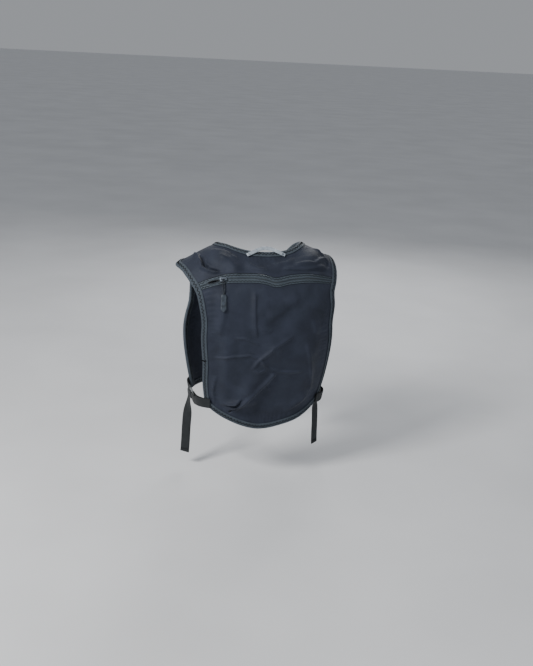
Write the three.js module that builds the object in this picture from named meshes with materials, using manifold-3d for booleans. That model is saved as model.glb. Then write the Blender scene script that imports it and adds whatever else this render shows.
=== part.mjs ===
// A running hydration vest in its worn form, shaped as if on a body that is not there.
// Its cloth is laid on a body form, a smooth surface that gives the vest its outline from every side.
// Frame: +Z up, +Y towards the wearer's front, +X towards the wearer's right hand. Millimetres.
// The origin is midway between the shoulders, on the line where the two straps sit.

import Module from "manifold-3d";
import * as THREE from "three";
import { mergeVertices } from "three/addons/utils/BufferGeometryUtils.js";

const wasm = await Module();
wasm.setup();

// Body form: half widths, depths and levels
const SHOULDER_HALF_WIDTH = 200;
const CHEST_HALF_WIDTH = 160;
const WAIST_HALF_WIDTH = 127;
const CHEST_BACK_DEPTH = 100;
const CHEST_FRONT_DEPTH = 112;
const WAIST_BACK_DEPTH = 84;
const WAIST_FRONT_DEPTH = 98;
const CHEST_WIDTH = 2 * CHEST_HALF_WIDTH;
const BLADE_DROP = 132; // from the shoulder line down to the shoulder blades
const BLADE_TO_WAIST = 220;
const SHOULDER_ARC = 180; // cloth from the shoulder line to the level of the blades
const NECK_RISE = 17; // shoulder line beside the neck, above the straps' middle
const SHOULDER_FALL = 42; // from there down to the straps' outer edge
const NECK_REACH = 0.36; // share of the shoulder half width where the fall begins
const TIP_REACH = 0.825; // and where it is complete
const FALL_SOFTNESS = 0.25; // roundness of its beginning
const SECTION_POWER = 2.5; // 2 is an ellipse, more is squarer

// Lengths of cloth, measured from the shoulder line
const BACK_LENGTH = 340; // down to the back panel's lower corners
const HEM_DIP = 49; // the hem's middle below those corners
const FRONT_EXTRA = 10; // by which the fronts are longer, over the chest
const FRONT_LENGTH = BACK_LENGTH + FRONT_EXTRA; // down to the front panels' lower edge
const SEAM_DROP = 14; // shoulder seam, to the front of the shoulder line
const ZIP_DROP = 98; // down the back to the zip's middle

// Walls of cloth, from the body outwards, and the gaps between pieces
const SKIN_GAP = 1.5;
const LINER_WALL = 1;
const LAYER_GAP = 0.4;
const PANEL_WALL = 1.1;
const SHELL_WALL = LINER_WALL + LAYER_GAP + PANEL_WALL; // yoke and front panels
const PIECE_GAP = 0.3;

// Edge binding, a tape folded over the raw edge
const BINDING_WIDTH = 12;
const BINDING_WALL = 1;
const BINDING_CLEARANCE = 0.8;
const CLOTH_SET_BACK = 1.1; // from the tape's fold to the cloth in it
const EDGE_INSET = BINDING_WALL + CLOTH_SET_BACK; // cloth's raw edge behind the finished edge
const EDGE_FLAT = 2;
const EDGE_BAND = BINDING_WIDTH + EDGE_FLAT; // flat cloth beside a bound edge
const TRIM_LIFT = SKIN_GAP + SHELL_WALL + BINDING_CLEARANCE + BINDING_WALL + PIECE_GAP;

// Zip
const ZIP_WIDTH = 15;
const ZIP_GAP = 0.9; // between the zip's band and the cloth above and below it
const ZIP_MOUTH_START = 26; // from the left armhole's edge
const ZIP_MOUTH_LENGTH = 22;
const ZIP_MOUTH_HEIGHT = 5;
const ZIP_MOUTH_SIDES = 10;
const SLIDER_LENGTH = 14;
const SLIDER_WIDTH = 9;
const SLIDER_HEIGHT = 4;
const SLIDER_NOSE = 6; // its width at the closed side of the zip
const SLIDER_CORNER = 1;
const PULL_LOOP_LENGTH = 20;
const PULL_LOOP_THICKNESS = 2;
const PULL_TAB_LENGTH = 33;
const PULL_TAB_WIDTH = 11;
const PULL_TAB_HEAD = 7.7; // its width at the top
const PULL_TAB_THICKNESS = 4;
const PULL_TAB_POINT = 5;
const PULL_LIFT = 3.3; // middle of the loop and the tab above the panel

// Hang loop of narrow webbing at the back of the neck
const HANG_WEBBING_WIDTH = 7;
const HANG_WEBBING_WALL = 1.4;
const HANG_SPAN = 76;
const HANG_RISE = 17;
const HANG_OFFSET = -1; // of its middle towards the wearer's right
const HANG_STAND_OFF = 6;

// Side straps and their ladder locks
const WEBBING_WIDTH = 20;
const WEBBING_WALL = 1.4;
const STRAP_RISE = 4;
const STRAP_DROP = BACK_LENGTH - STRAP_RISE; // the straps' middle, by the back panel's corners
const STRAP_LAP = 14; // sewn length on a panel
const STRAP_PULL = 9; // how far the taut straps' middle is drawn in from the body form
const LOCK_PLACE = 40; // from the back panel's edge to the lock's middle
const LOCK_BAR = 3.6;
const LOCK_SLOT = 5;
const LOCK_RIM = 3;
const LOCK_WALL = 3.4;
const TURN_CLEARANCE = 0.7; // webbing off the bar that it turns round
const TAIL_LENGTH = 124;
const TAIL_START = 1; // straight webbing before the tail turns down
const TAIL_BEND = 12; // radius of that turn, at the webbing's middle
const TAIL_TURN = 0.9; // angle by which the tail twists to the back as it falls
const TAIL_TURN_SHARE = 0.35; // share of its length over which it twists
const TAIL_SWING = 8; // how far its end hangs outwards

// Flask pockets on the front panels
const POCKET_LENGTH = 160;
const POCKET_FOOT = 26; // from the front panel's lower edge up to the pocket's
const POCKET_BULGE = 26;
const POCKET_ROUNDING = 0.2; // share of its length over which its foot closes
const POCKET_MARGIN = 4;
const POCKET_INSET = BINDING_WIDTH + POCKET_MARGIN; // its sides, from the panel's finished edges
const POCKET_WALL = 1.4;
const POCKET_RIM = 12;
const POCKET_RIM_WALL = 1;
const POCKET_COLUMNS = 10;

// Chest strap
const CHEST_STRAP_DROP = 128;
const CHEST_STRAP_WIDTH = 15;
const CLASP_LENGTH = 44;
const CLASP_WIDTH = 25;
const CLASP_WALL = 7;
const CLASP_BAR = 4;
const CLASP_SLOT = 5;
const CLASP_CORNER = 3;
const CHEST_TURN_BACK = 20; // sewn return of the webbing beside the clasp
const CHEST_TURN_GAP = 0.9; // between that return and the webbing under it

// How finely the cloth is meshed, and how far a cutter runs past what it cuts
const PANEL_STEP = 13.5;
const LINER_STEP = 16;
const FRONT_STEP = 16;
const TAPE_STEP = 14;
const CUT_SPARE = 1;

// Armhole edge, from the back's lower corner over the shoulder to the front's.
// drop: share of the back length behind and of the front length in front.
// reach: share of the body's half width. skew: the same, towards the wearer's right.
const ARMHOLE = [
  { drop: -1.0, reach: 0.865, skew: 0.022 },
  { drop: -0.875, reach: 0.868, skew: 0.035 },
  { drop: -0.73, reach: 0.838, skew: 0.043 },
  { drop: -0.545, reach: 0.816, skew: 0.028 },
  { drop: -0.43, reach: 0.79, skew: 0.02 },
  { drop: -0.335, reach: 0.743, skew: -0.004 },
  { drop: -0.28, reach: 0.745, skew: -0.01 },
  { drop: -0.16, reach: 0.762, skew: -0.03 },
  { drop: 0.0, reach: 0.785, skew: -0.055 },
  { drop: 0.12, reach: 0.755, skew: -0.03 },
  { drop: 0.3, reach: 0.7, skew: 0.0 },
  { drop: 0.45, reach: 0.77, skew: 0.0 },
  { drop: 0.62, reach: 0.88, skew: 0.0 },
  { drop: 0.82, reach: 0.925, skew: 0.0 },
  { drop: 1.0, reach: 0.93, skew: 0.0 },
];

// Neck edge from the middle of the back to the front's lower inner corner. place runs along it.
const NECK = [
  { place: 0.0, reach: 0.0, drop: -0.125, skew: 0.02 },
  { place: 0.1, reach: 0.13, drop: -0.119, skew: 0.02 },
  { place: 0.2, reach: 0.24, drop: -0.096, skew: 0.01 },
  { place: 0.3, reach: 0.33, drop: -0.055, skew: 0.0 },
  { place: 0.4, reach: 0.385, drop: 0.0, skew: -0.01 },
  { place: 0.5, reach: 0.4, drop: 0.07, skew: 0.0 },
  { place: 0.6, reach: 0.375, drop: 0.17, skew: 0.0 },
  { place: 0.7, reach: 0.305, drop: 0.34, skew: 0.0 },
  { place: 0.8, reach: 0.268, drop: 0.5, skew: 0.0 },
  { place: 0.9, reach: 0.285, drop: 0.75, skew: 0.0 },
  { place: 1.0, reach: 0.37, drop: 1.0, skew: 0.0 },
];

// Hem between the back's lower corners, from left to right. dip: share of the hem's dip.
const HEM = [
  { across: 0.0, dip: 0.0 },
  { across: 0.06, dip: 0.28 },
  { across: 0.14, dip: 0.53 },
  { across: 0.27, dip: 0.81 },
  { across: 0.4, dip: 0.98 },
  { across: 0.5, dip: 1.0 },
  { across: 0.63, dip: 0.9 },
  { across: 0.82, dip: 0.66 },
  { across: 0.95, dip: 0.25 },
  { across: 1.0, dip: 0.0 },
];

// Zip line from the left armhole to the right. rise: share of the zip's width.
const ZIP_LINE = [
  { across: 0.0, rise: -0.2 },
  { across: 0.1, rise: 0.0 },
  { across: 0.25, rise: 0.05 },
  { across: 0.4, rise: 0.05 },
  { across: 0.48, rise: -0.15 },
  { across: 0.55, rise: -0.45 },
  { across: 0.66, rise: -0.15 },
  { across: 0.82, rise: 0.05 },
  { across: 1.0, rise: 0.6 },
];

// Raised folds of the back's cloth. Each runs from one reach and drop to another, the drops as shares
// of the back length. width and height are shares of these two sizes.
const FOLD_WIDTH = 12;
const FOLD_HEIGHT = 5;
const FOLDS = [
  // the left shoulder's pleat
  { fromReach: -0.5, fromDrop: 0.0, toReach: -0.42, toDrop: -0.16, width: 0.9, height: 1.2 },
  { fromReach: -0.42, fromDrop: -0.16, toReach: -0.33, toDrop: -0.23, width: 0.9, height: 0.9 },
  // from the neck towards the right armhole
  { fromReach: 0.05, fromDrop: -0.2, toReach: 0.6, toDrop: -0.12, width: 1.3, height: 0.9 },
  { fromReach: -0.05, fromDrop: -0.24, toReach: 0.55, toDrop: -0.2, width: 1.2, height: 0.8 },
  { fromReach: 0.45, fromDrop: -0.08, toReach: 0.62, toDrop: -0.05, width: 1.2, height: 0.8 },
  // from the crossing of the creases down to the lower left corner
  { fromReach: 0.05, fromDrop: -0.62, toReach: -0.25, toDrop: -0.88, width: 1.4, height: 1.1 },
  { fromReach: -0.25, fromDrop: -0.88, toReach: -0.5, toDrop: -1.02, width: 1.2, height: 1.3 },
  { fromReach: -0.2, fromDrop: -0.96, toReach: -0.58, toDrop: -0.98, width: 0.9, height: 1.0 },
  // from the crossing up to the right
  { fromReach: 0.05, fromDrop: -0.62, toReach: 0.4, toDrop: -0.48, width: 1.5, height: 0.7 },
  { fromReach: 0.1, fromDrop: -0.7, toReach: 0.5, toDrop: -0.68, width: 1.3, height: 0.5 },
  // upright, below the zip and along both sides
  { fromReach: -0.08, fromDrop: -0.36, toReach: -0.06, toDrop: -0.56, width: 1.8, height: 0.6 },
  { fromReach: 0.5, fromDrop: -0.66, toReach: 0.55, toDrop: -0.95, width: 1.8, height: 0.6 },
  { fromReach: -0.52, fromDrop: -0.62, toReach: -0.62, toDrop: -0.92, width: 1.2, height: 0.6 },
];
const PANEL_FULLNESS = 6; // how far the empty pocket stands off where it is fullest
const FULLEST_PLACE = 0.55; // share of the pocket's length below the zip
const FULLNESS_SPREAD = 0.41; // and how far the fullness reaches from there
const CALM_MARGIN = 6; // flat cloth past the band beside a bound edge
const CALM_WIDTH = 26; // over which the folds grow from there

function mix(a, b, share) {
  return a + (b - a) * share;
}

function smooth(share) {
  const s = Math.min(1, Math.max(0, share));
  return s * s * (3 - 2 * s);
}

// A column of a table at a value of its key column, smooth through the rows.
function readTable(rows, key, column, at) {
  let i = 0;
  while (i < rows.length - 2 && at > rows[i + 1][key]) i += 1;
  const slope = (k) => {
    const before = rows[Math.max(0, k - 1)];
    const after = rows[Math.min(rows.length - 1, k + 1)];
    return (after[column] - before[column]) / (after[key] - before[key]);
  };
  const span = rows[i + 1][key] - rows[i][key];
  const t = Math.min(1, Math.max(0, (at - rows[i][key]) / span));
  const blend = t * t * (3 - 2 * t);
  const startLean = t * (1 - t) * (1 - t) * span * slope(i);
  const endLean = t * t * (t - 1) * span * slope(i + 1);
  return mix(rows[i][column], rows[i + 1][column], blend) + startLean + endLean;
}

// Sizes of the body form at a length of cloth below the shoulder line.
function bodySection(length) {
  const angle = (Math.max(0, 1 - length / SHOULDER_ARC) * Math.PI) / 2;
  const up = Math.sin(angle);
  const fall = Math.max(0, length - SHOULDER_ARC);
  const low = smooth(fall / BLADE_TO_WAIST);
  const upper = mix(CHEST_HALF_WIDTH, SHOULDER_HALF_WIDTH, smooth(up));
  return {
    up,
    out: Math.cos(angle),
    fall,
    halfWidth: mix(upper, WAIST_HALF_WIDTH, low),
    back: mix(CHEST_BACK_DEPTH, WAIST_BACK_DEPTH, low),
    front: mix(CHEST_FRONT_DEPTH, WAIST_FRONT_DEPTH, low),
  };
}

// Height of the shoulder line at a sideways place.
function shoulderHeight(x) {
  const reach = Math.abs(x) / SHOULDER_HALF_WIDTH;
  const t = Math.max(0, (reach - NECK_REACH) / (TIP_REACH - NECK_REACH));
  return NECK_RISE - (SHOULDER_FALL * (1 + FALL_SOFTNESS) * t * t) / (t + FALL_SOFTNESS);
}

// Point of the body form. reach runs from -1 to 1 across it. drop is the length of cloth from the
// shoulder line, negative behind and positive in front.
function bodyPoint(reach, drop) {
  const s = bodySection(Math.abs(drop));
  const q = Math.min(0.995, Math.abs(reach)) * Math.sign(reach);
  const x = q * s.halfWidth;
  const z = -BLADE_DROP + (shoulderHeight(x) + BLADE_DROP) * s.up - s.fall;
  const round = Math.pow(1 - Math.pow(Math.abs(q), SECTION_POWER), 1 / SECTION_POWER);
  const y = (drop < 0 ? -s.back : s.front) * round * s.out;
  return new THREE.Vector3(x, y, z);
}

// How the body form runs at a place: its point, its normal, and its change over reach and over drop.
function bodyFrame(reach, drop) {
  const reachStep = 0.002;
  const dropStep = 0.4;
  const overReach = bodyPoint(reach + reachStep, drop)
    .sub(bodyPoint(reach - reachStep, drop))
    .divideScalar(2 * reachStep);
  const overDrop = bodyPoint(reach, drop + dropStep)
    .sub(bodyPoint(reach, drop - dropStep))
    .divideScalar(2 * dropStep);
  const normal = overReach.clone().cross(overDrop).normalize();
  return { point: bodyPoint(reach, drop), normal, overReach, overDrop };
}

// Point at a height above the body form.
function lifted(place, lift) {
  const frame = bodyFrame(place.reach, place.drop);
  return frame.point.addScaledVector(frame.normal, lift);
}

// The place that lies a distance away along a direction in the cloth.
function slid(place, direction, distance) {
  const { overReach, overDrop } = bodyFrame(place.reach, place.drop);
  const reachSquare = overReach.lengthSq();
  const dropSquare = overDrop.lengthSq();
  const both = overReach.dot(overDrop);
  const alongReach = overReach.dot(direction) * distance;
  const alongDrop = overDrop.dot(direction) * distance;
  const area = reachSquare * dropSquare - both * both;
  return {
    reach: place.reach + (alongReach * dropSquare - alongDrop * both) / area,
    drop: place.drop + (alongDrop * reachSquare - alongReach * both) / area,
  };
}

// Length of cloth that one unit of reach covers.
function reachLength(reach, drop) {
  return bodyFrame(reach, drop).overReach.length();
}

function dropOf(share) {
  return share < 0 ? share * BACK_LENGTH : share * FRONT_LENGTH;
}

// Reach of the armhole edge at a drop. side is -1 on the left and 1 on the right.
function armholeReach(side, drop) {
  const share = drop < 0 ? drop / BACK_LENGTH : drop / FRONT_LENGTH;
  const reach = readTable(ARMHOLE, "drop", "reach", share);
  return side * reach + readTable(ARMHOLE, "drop", "skew", share);
}

function armholePlace(side, drop) {
  return { reach: armholeReach(side, drop), drop };
}

function neckPlace(side, place) {
  const reach = side * readTable(NECK, "place", "reach", place);
  return {
    reach: reach + readTable(NECK, "place", "skew", place),
    drop: dropOf(readTable(NECK, "place", "drop", place)),
  };
}

// Where along the neck edge a drop is reached.
function neckAt(drop) {
  let low = 0;
  let high = 1;
  for (let i = 0; i < 30; i += 1) {
    const middle = (low + high) / 2;
    if (neckPlace(1, middle).drop < drop) low = middle;
    else high = middle;
  }
  return (low + high) / 2;
}

function acrossPlace(across, drop) {
  return { reach: mix(armholeReach(-1, drop), armholeReach(1, drop), across), drop };
}

function hemPlace(across) {
  return acrossPlace(across, -BACK_LENGTH - HEM_DIP * readTable(HEM, "across", "dip", across));
}

// Place on the zip. level is 0 at its lower edge and 1 at its upper.
function zipPlace(across, level) {
  const rise = readTable(ZIP_LINE, "across", "rise", across) + level - 0.5;
  return acrossPlace(across, -ZIP_DROP + ZIP_WIDTH * rise);
}

// Share of the way across the zip at a distance from the left armhole.
function zipShare(distance) {
  const width = zipPlace(1, 0.5).reach - zipPlace(0, 0.5).reach;
  return distance / (width * bodySection(ZIP_DROP).halfWidth);
}

// Distance along the cloth from the nearest bound edge of the back.
function edgeDistance(reach, drop) {
  const half = bodySection(Math.abs(drop)).halfWidth;
  const toLeft = (reach - armholeReach(-1, drop)) * half;
  const toRight = (armholeReach(1, drop) - reach) * half;
  const across = toLeft / (toLeft + toRight);
  const toHem = drop - hemPlace(across).drop;
  const toSeam = SEAM_DROP - drop + EDGE_BAND;
  const samples = 20;
  let toNeck = Infinity;
  for (let i = 0; i <= samples; i += 1) {
    const p = neckPlace(Math.sign(reach) || 1, i / (2 * samples));
    toNeck = Math.min(toNeck, Math.hypot((p.reach - reach) * half, p.drop - drop));
  }
  return Math.min(toLeft, toRight, toHem, toNeck, toSeam);
}

// Height that the folds add at a place.
function foldHeight(reach, drop) {
  const half = bodySection(Math.abs(drop)).halfWidth;
  return FOLDS.reduce((sum, fold) => {
    const startX = fold.fromReach * half;
    const startDrop = fold.fromDrop * BACK_LENGTH;
    const runX = fold.toReach * half - startX;
    const runDrop = fold.toDrop * BACK_LENGTH - startDrop;
    const x = reach * half - startX;
    const d = drop - startDrop;
    const t = Math.min(1, Math.max(0, (x * runX + d * runDrop) / (runX ** 2 + runDrop ** 2)));
    const away = Math.hypot(x - runX * t, d - runDrop * t) / (fold.width * FOLD_WIDTH);
    return sum + fold.height * FOLD_HEIGHT * Math.exp(-away * away);
  }, 0);
}

// Lift of the back's outer cloth above where it lies at its edges.
function backDrape(reach, drop) {
  const calm = smooth((edgeDistance(reach, drop) - EDGE_BAND - CALM_MARGIN) / CALM_WIDTH);
  const pocketLength = BACK_LENGTH - ZIP_DROP;
  const away = ((drop + ZIP_DROP) / pocketLength + FULLEST_PLACE) / FULLNESS_SPREAD;
  const fullness = PANEL_FULLNESS * Math.exp(-away * away) * (1 - reach ** 2);
  return calm * (fullness + foldHeight(reach, drop));
}

// Heights of the inner and outer face of each layer at a place.
function linerLift() {
  return [SKIN_GAP, SKIN_GAP + LINER_WALL];
}

function panelLift(place) {
  const inner = SKIN_GAP + LINER_WALL + LAYER_GAP + backDrape(place.reach, place.drop);
  return [inner, inner + PANEL_WALL];
}

function yokeLift(place) {
  const inner = SKIN_GAP + backDrape(place.reach, place.drop);
  return [inner, inner + SHELL_WALL];
}

function frontLift() {
  return [SKIN_GAP, SKIN_GAP + SHELL_WALL];
}

// A mesh from points and triangles, with its faces turned outwards.
function closedGeometry(points, triangles) {
  let volume = 0;
  for (const [a, b, c] of triangles) {
    volume += points[a].dot(points[b].clone().cross(points[c]));
  }
  const index = triangles.flatMap(([a, b, c]) => (volume < 0 ? [a, c, b] : [a, b, c]));
  const positions = points.flatMap((p) => [p.x, p.y, p.z]);
  return new THREE.BufferGeometry()
    .setAttribute("position", new THREE.Float32BufferAttribute(positions, 3))
    .setIndex(index);
}

// A wall between two grids of points, its outer and its inner face.
function wallGeometry(outer, inner) {
  const rows = outer.length;
  const columns = outer[0].length;
  const points = [...outer.flat(), ...inner.flat()];
  const under = rows * columns;
  const at = (i, j) => i * columns + j;
  const triangles = [];
  for (let i = 0; i + 1 < rows; i += 1) {
    for (let j = 0; j + 1 < columns; j += 1) {
      const [a, b, c, d] = [at(i, j), at(i, j + 1), at(i + 1, j + 1), at(i + 1, j)];
      triangles.push([a, b, c], [a, c, d]);
      triangles.push([under + a, under + c, under + b], [under + a, under + d, under + c]);
    }
  }
  const rim = [];
  for (let j = 0; j + 1 < columns; j += 1) rim.push(at(0, j));
  for (let i = 0; i + 1 < rows; i += 1) rim.push(at(i, columns - 1));
  for (let j = columns - 1; j > 0; j -= 1) rim.push(at(rows - 1, j));
  for (let i = rows - 1; i > 0; i -= 1) rim.push(at(i, 0));
  rim.forEach((p, k) => {
    const q = rim[(k + 1) % rim.length];
    triangles.push([q, p, under + p], [q, under + p, under + q]);
  });
  return closedGeometry(points, triangles);
}

// Cloth over a grid of places. lift gives the heights of its two faces at a place.
function clothGeometry(grid, lift) {
  const face = (side) => grid.map((row) => row.map((place) => lifted(place, lift(place)[side])));
  return wallGeometry(face(1), face(0));
}

// A solid through sections that are closed loops of the same number of points.
function sweptGeometry(sections, outline) {
  const count = outline.length;
  const last = (sections.length - 1) * count;
  const triangles = [];
  for (let k = 0; k + 1 < sections.length; k += 1) {
    for (let m = 0; m < count; m += 1) {
      const n = (m + 1) % count;
      const here = k * count;
      const next = here + count;
      triangles.push([here + m, here + n, next + n], [here + m, next + n, next + m]);
    }
  }
  const outlineTurn = THREE.ShapeUtils.area(outline);
  for (const [a, b, c] of THREE.ShapeUtils.triangulateShape(outline, [])) {
    const capTurn = THREE.ShapeUtils.area([outline[a], outline[b], outline[c]]);
    const [p, q] = capTurn * outlineTurn > 0 ? [b, c] : [c, b];
    triangles.push([last + a, last + p, last + q], [a, q, p]);
  }
  return closedGeometry(sections.flat(), triangles);
}

function boxOutline(width, thickness) {
  return [
    new THREE.Vector2(-width / 2, -thickness / 2),
    new THREE.Vector2(width / 2, -thickness / 2),
    new THREE.Vector2(width / 2, thickness / 2),
    new THREE.Vector2(-width / 2, thickness / 2),
  ];
}

// A flat webbing through stations, each with a point and a direction across the webbing.
function webbingGeometry(stations, width, thickness) {
  const outline = boxOutline(width, thickness);
  const sections = stations.map((station, i) => {
    const before = stations[Math.max(0, i - 1)].point;
    const after = stations[Math.min(stations.length - 1, i + 1)].point;
    const normal = after.clone().sub(before).cross(station.across).normalize();
    return outline.map((p) =>
      station.point.clone().addScaledVector(station.across, p.x).addScaledVector(normal, p.y),
    );
  });
  return sweptGeometry(sections, outline);
}

// Places along a curve, about a step apart. curve gives a place for a share from 0 to 1.
function spaced(curve, step) {
  const samples = 400;
  const lengths = [0];
  for (let i = 1; i <= samples; i += 1) {
    const a = curve((i - 1) / samples);
    const b = curve(i / samples);
    const run = bodyPoint(a.reach, a.drop).distanceTo(bodyPoint(b.reach, b.drop));
    lengths.push(lengths[i - 1] + run);
  }
  const total = lengths[samples];
  const count = Math.max(2, Math.round(total / step));
  const made = [];
  let i = 0;
  for (let k = 0; k <= count; k += 1) {
    const wanted = (total * k) / count;
    while (i < samples - 1 && lengths[i + 1] < wanted) i += 1;
    const share = (wanted - lengths[i]) / (lengths[i + 1] - lengths[i]);
    made.push(curve(Math.min(1, (i + share) / samples)));
  }
  return made;
}

// Directions along and into the cloth at a place of a bound edge. clothSide is 1 where the cloth lies
// to the left of the edge's run, seen from outside, and -1 where it lies to the right.
function edgeDirections(path, i, clothSide) {
  const before = path[Math.max(0, i - 1)];
  const after = path[Math.min(path.length - 1, i + 1)];
  const along = bodyPoint(after.reach, after.drop)
    .sub(bodyPoint(before.reach, before.drop))
    .normalize();
  const { normal } = bodyFrame(path[i].reach, path[i].drop);
  const inward = normal.cross(along).normalize().multiplyScalar(clothSide);
  return { along, inward };
}

// How far a mitre runs along an edge for each millimetre into the cloth, where it meets another edge.
function mitreSlope(direction, otherDirection) {
  const half = direction.angleTo(otherDirection) / 2;
  return { slope: 1 / Math.tan(half), gap: PIECE_GAP / 2 / Math.sin(half) };
}

// A tape folded over a bound edge, mitred at the ends. mitres: for the start and the end, the
// direction in which the other edge leaves the shared corner.
function bindingGeometry(path, clothSide, mitres) {
  const low = SKIN_GAP - BINDING_CLEARANCE;
  const high = SKIN_GAP + SHELL_WALL + BINDING_CLEARANCE;
  const outline = [
    [BINDING_WIDTH, low - BINDING_WALL],
    [0, low - BINDING_WALL],
    [0, high + BINDING_WALL],
    [BINDING_WIDTH, high + BINDING_WALL],
    [BINDING_WIDTH, high],
    [BINDING_WALL, high],
    [BINDING_WALL, low],
    [BINDING_WIDTH, low],
  ].map(([inward, lift]) => new THREE.Vector2(inward, lift));
  const last = path.length - 1;
  const sections = path.map((place, i) => {
    const { along, inward } = edgeDirections(path, i, clothSide);
    const end = i === 0 ? mitres[0] : i === last ? mitres[1] : undefined;
    const away = i === 0 ? along : along.clone().negate();
    const { slope, gap } = end ? mitreSlope(away, end) : { slope: 0, gap: 0 };
    return outline.map((p) => {
      const back = slid(place, away, p.x * slope + gap);
      return lifted(slid(back, inward, p.x), p.y);
    });
  });
  return sweptGeometry(sections, outline);
}

// Marks along a stretch of cloth: distances from its start, shares of its inner part, and distances
// from its end.
function marks(length, step, insets) {
  const [startInset, startBand, endBand, endInset] = insets;
  const count = Math.max(2, Math.round((length - startBand - endBand) / step));
  const made = [];
  if (startInset < startBand) made.push({ fromStart: startInset });
  for (let i = 0; i <= count; i += 1) {
    made.push({ share: i / count, startBand, endBand });
  }
  if (endInset < endBand) made.push({ fromEnd: endInset });
  return made;
}

// The value at a mark between two ends. The units say how much cloth one step of the value covers.
function valueAt(mark, start, end, startUnit, endUnit) {
  const sign = Math.sign(end - start);
  if (mark.fromStart !== undefined) return start + (sign * mark.fromStart) / startUnit;
  if (mark.fromEnd !== undefined) return end - (sign * mark.fromEnd) / endUnit;
  const first = start + (sign * mark.startBand) / startUnit;
  const last = end - (sign * mark.endBand) / endUnit;
  return mix(first, last, mark.share);
}

const BOUND = [EDGE_INSET, EDGE_BAND, EDGE_BAND, EDGE_INSET];

// Grid of places on the back from armhole to armhole, between a lower and an upper edge. The edges are
// read as if the back were as wide as it is long, which keeps the corners clear of the binding.
function backGrid(columns, rows, lowerEdge, upperEdge) {
  return rows.map((row) =>
    columns.map((column) => {
      const across = valueAt(column, 0, BACK_LENGTH, 1, 1) / BACK_LENGTH;
      const drop = valueAt(row, lowerEdge(across), upperEdge(across), 1, 1);
      const left = armholeReach(-1, drop);
      const right = armholeReach(1, drop);
      const reach = valueAt(
        column,
        left,
        right,
        reachLength(left, drop),
        reachLength(right, drop),
      );
      return { reach, drop };
    }),
  );
}

function hemDrop(across) {
  return hemPlace(across).drop;
}

function belowZip(across) {
  return zipPlace(across, 0).drop - ZIP_GAP;
}

function aboveZip(across) {
  return zipPlace(across, 1).drop;
}

function makeBackPanel() {
  const columns = marks(CHEST_WIDTH, PANEL_STEP, BOUND);
  const rows = marks(BACK_LENGTH - ZIP_DROP, PANEL_STEP, [EDGE_INSET, EDGE_BAND, 0, 0]);
  return clothGeometry(backGrid(columns, rows, hemDrop, belowZip), panelLift);
}

function makeBackLiner() {
  const columns = marks(CHEST_WIDTH, LINER_STEP, BOUND);
  const rows = marks(BACK_LENGTH - ZIP_DROP, LINER_STEP, [EDGE_INSET, EDGE_BAND, 0, 0]);
  return clothGeometry(backGrid(columns, rows, hemDrop, aboveZip), linerLift);
}

// Places along a straight run of cloth from one place to another, one at each mark.
function rung(start, end, made) {
  const length = bodyPoint(start.reach, start.drop).distanceTo(bodyPoint(end.reach, end.drop));
  return made.map((mark) => {
    const share = valueAt(mark, 0, length, 1, 1) / length;
    return { reach: mix(start.reach, end.reach, share), drop: mix(start.drop, end.drop, share) };
  });
}

// The yoke is a band of cloth round the back of the neck, with rungs out to the armholes and the zip.
function makeYoke() {
  const seamDrop = SEAM_DROP - PIECE_GAP / 2;
  const inset = zipShare(EDGE_INSET);
  const above = 1 + ZIP_GAP / ZIP_WIDTH;
  const armholeStretch = (side) => (share) => {
    const corner = zipPlace(side < 0 ? inset : 1 - inset, above);
    const drop = mix(seamDrop, corner.drop, share);
    const edge = armholeReach(side, drop);
    return { reach: edge - (side * EDGE_INSET) / reachLength(edge, drop), drop };
  };
  const left = spaced(armholeStretch(-1), PANEL_STEP);
  const right = spaced(armholeStretch(1), PANEL_STEP).reverse();
  const below = spaced((share) => zipPlace(mix(inset, 1 - inset, share), above), PANEL_STEP);
  const outer = [...left, ...below.slice(1, -1), ...right];
  const seamPlace = neckAt(seamDrop);
  const rungMarks = marks(ZIP_DROP, PANEL_STEP, [EDGE_INSET, EDGE_BAND, 0, 0]);
  const grid = outer.map((end, i) => {
    const share = (2 * i) / (outer.length - 1) - 1;
    const start = neckPlace(Math.sign(share) || 1, seamPlace * Math.abs(share));
    return rung(start, end, rungMarks);
  });
  return clothGeometry(grid, yokeLift);
}

// A front panel's grid between the shoulder seam and its lower edge, or a part of it.
function frontGrid(side, columns, rows, upperDrop, lowerDrop) {
  return rows.map((row) => {
    const drop = valueAt(row, upperDrop, lowerDrop, 1, 1);
    const neck = neckPlace(side, neckAt(drop)).reach;
    const armhole = armholeReach(side, drop);
    const neckUnit = reachLength(neck, drop);
    const armholeUnit = reachLength(armhole, drop);
    return columns.map((column) => ({
      reach: valueAt(column, neck, armhole, neckUnit, armholeUnit),
      drop,
    }));
  });
}

function makeFrontPanel(side) {
  const columns = marks(CHEST_FRONT_DEPTH, FRONT_STEP, BOUND);
  const rows = marks(FRONT_LENGTH, FRONT_STEP, [0, 0, EDGE_BAND, EDGE_INSET]);
  const grid = frontGrid(side, columns, rows, SEAM_DROP + PIECE_GAP / 2, FRONT_LENGTH);
  return clothGeometry(grid, frontLift);
}

// Height of the pocket's inner face above the front panel. across and down run from 0 to 1.
function pocketBulge(across, down) {
  const side = Math.sqrt(Math.max(0, 1 - (2 * across - 1) ** 2));
  const closing = Math.max(0, 1 - (1 - down) / POCKET_ROUNDING);
  const foot = Math.sqrt(1 - closing * closing);
  return POCKET_BULGE * side * foot;
}

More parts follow.
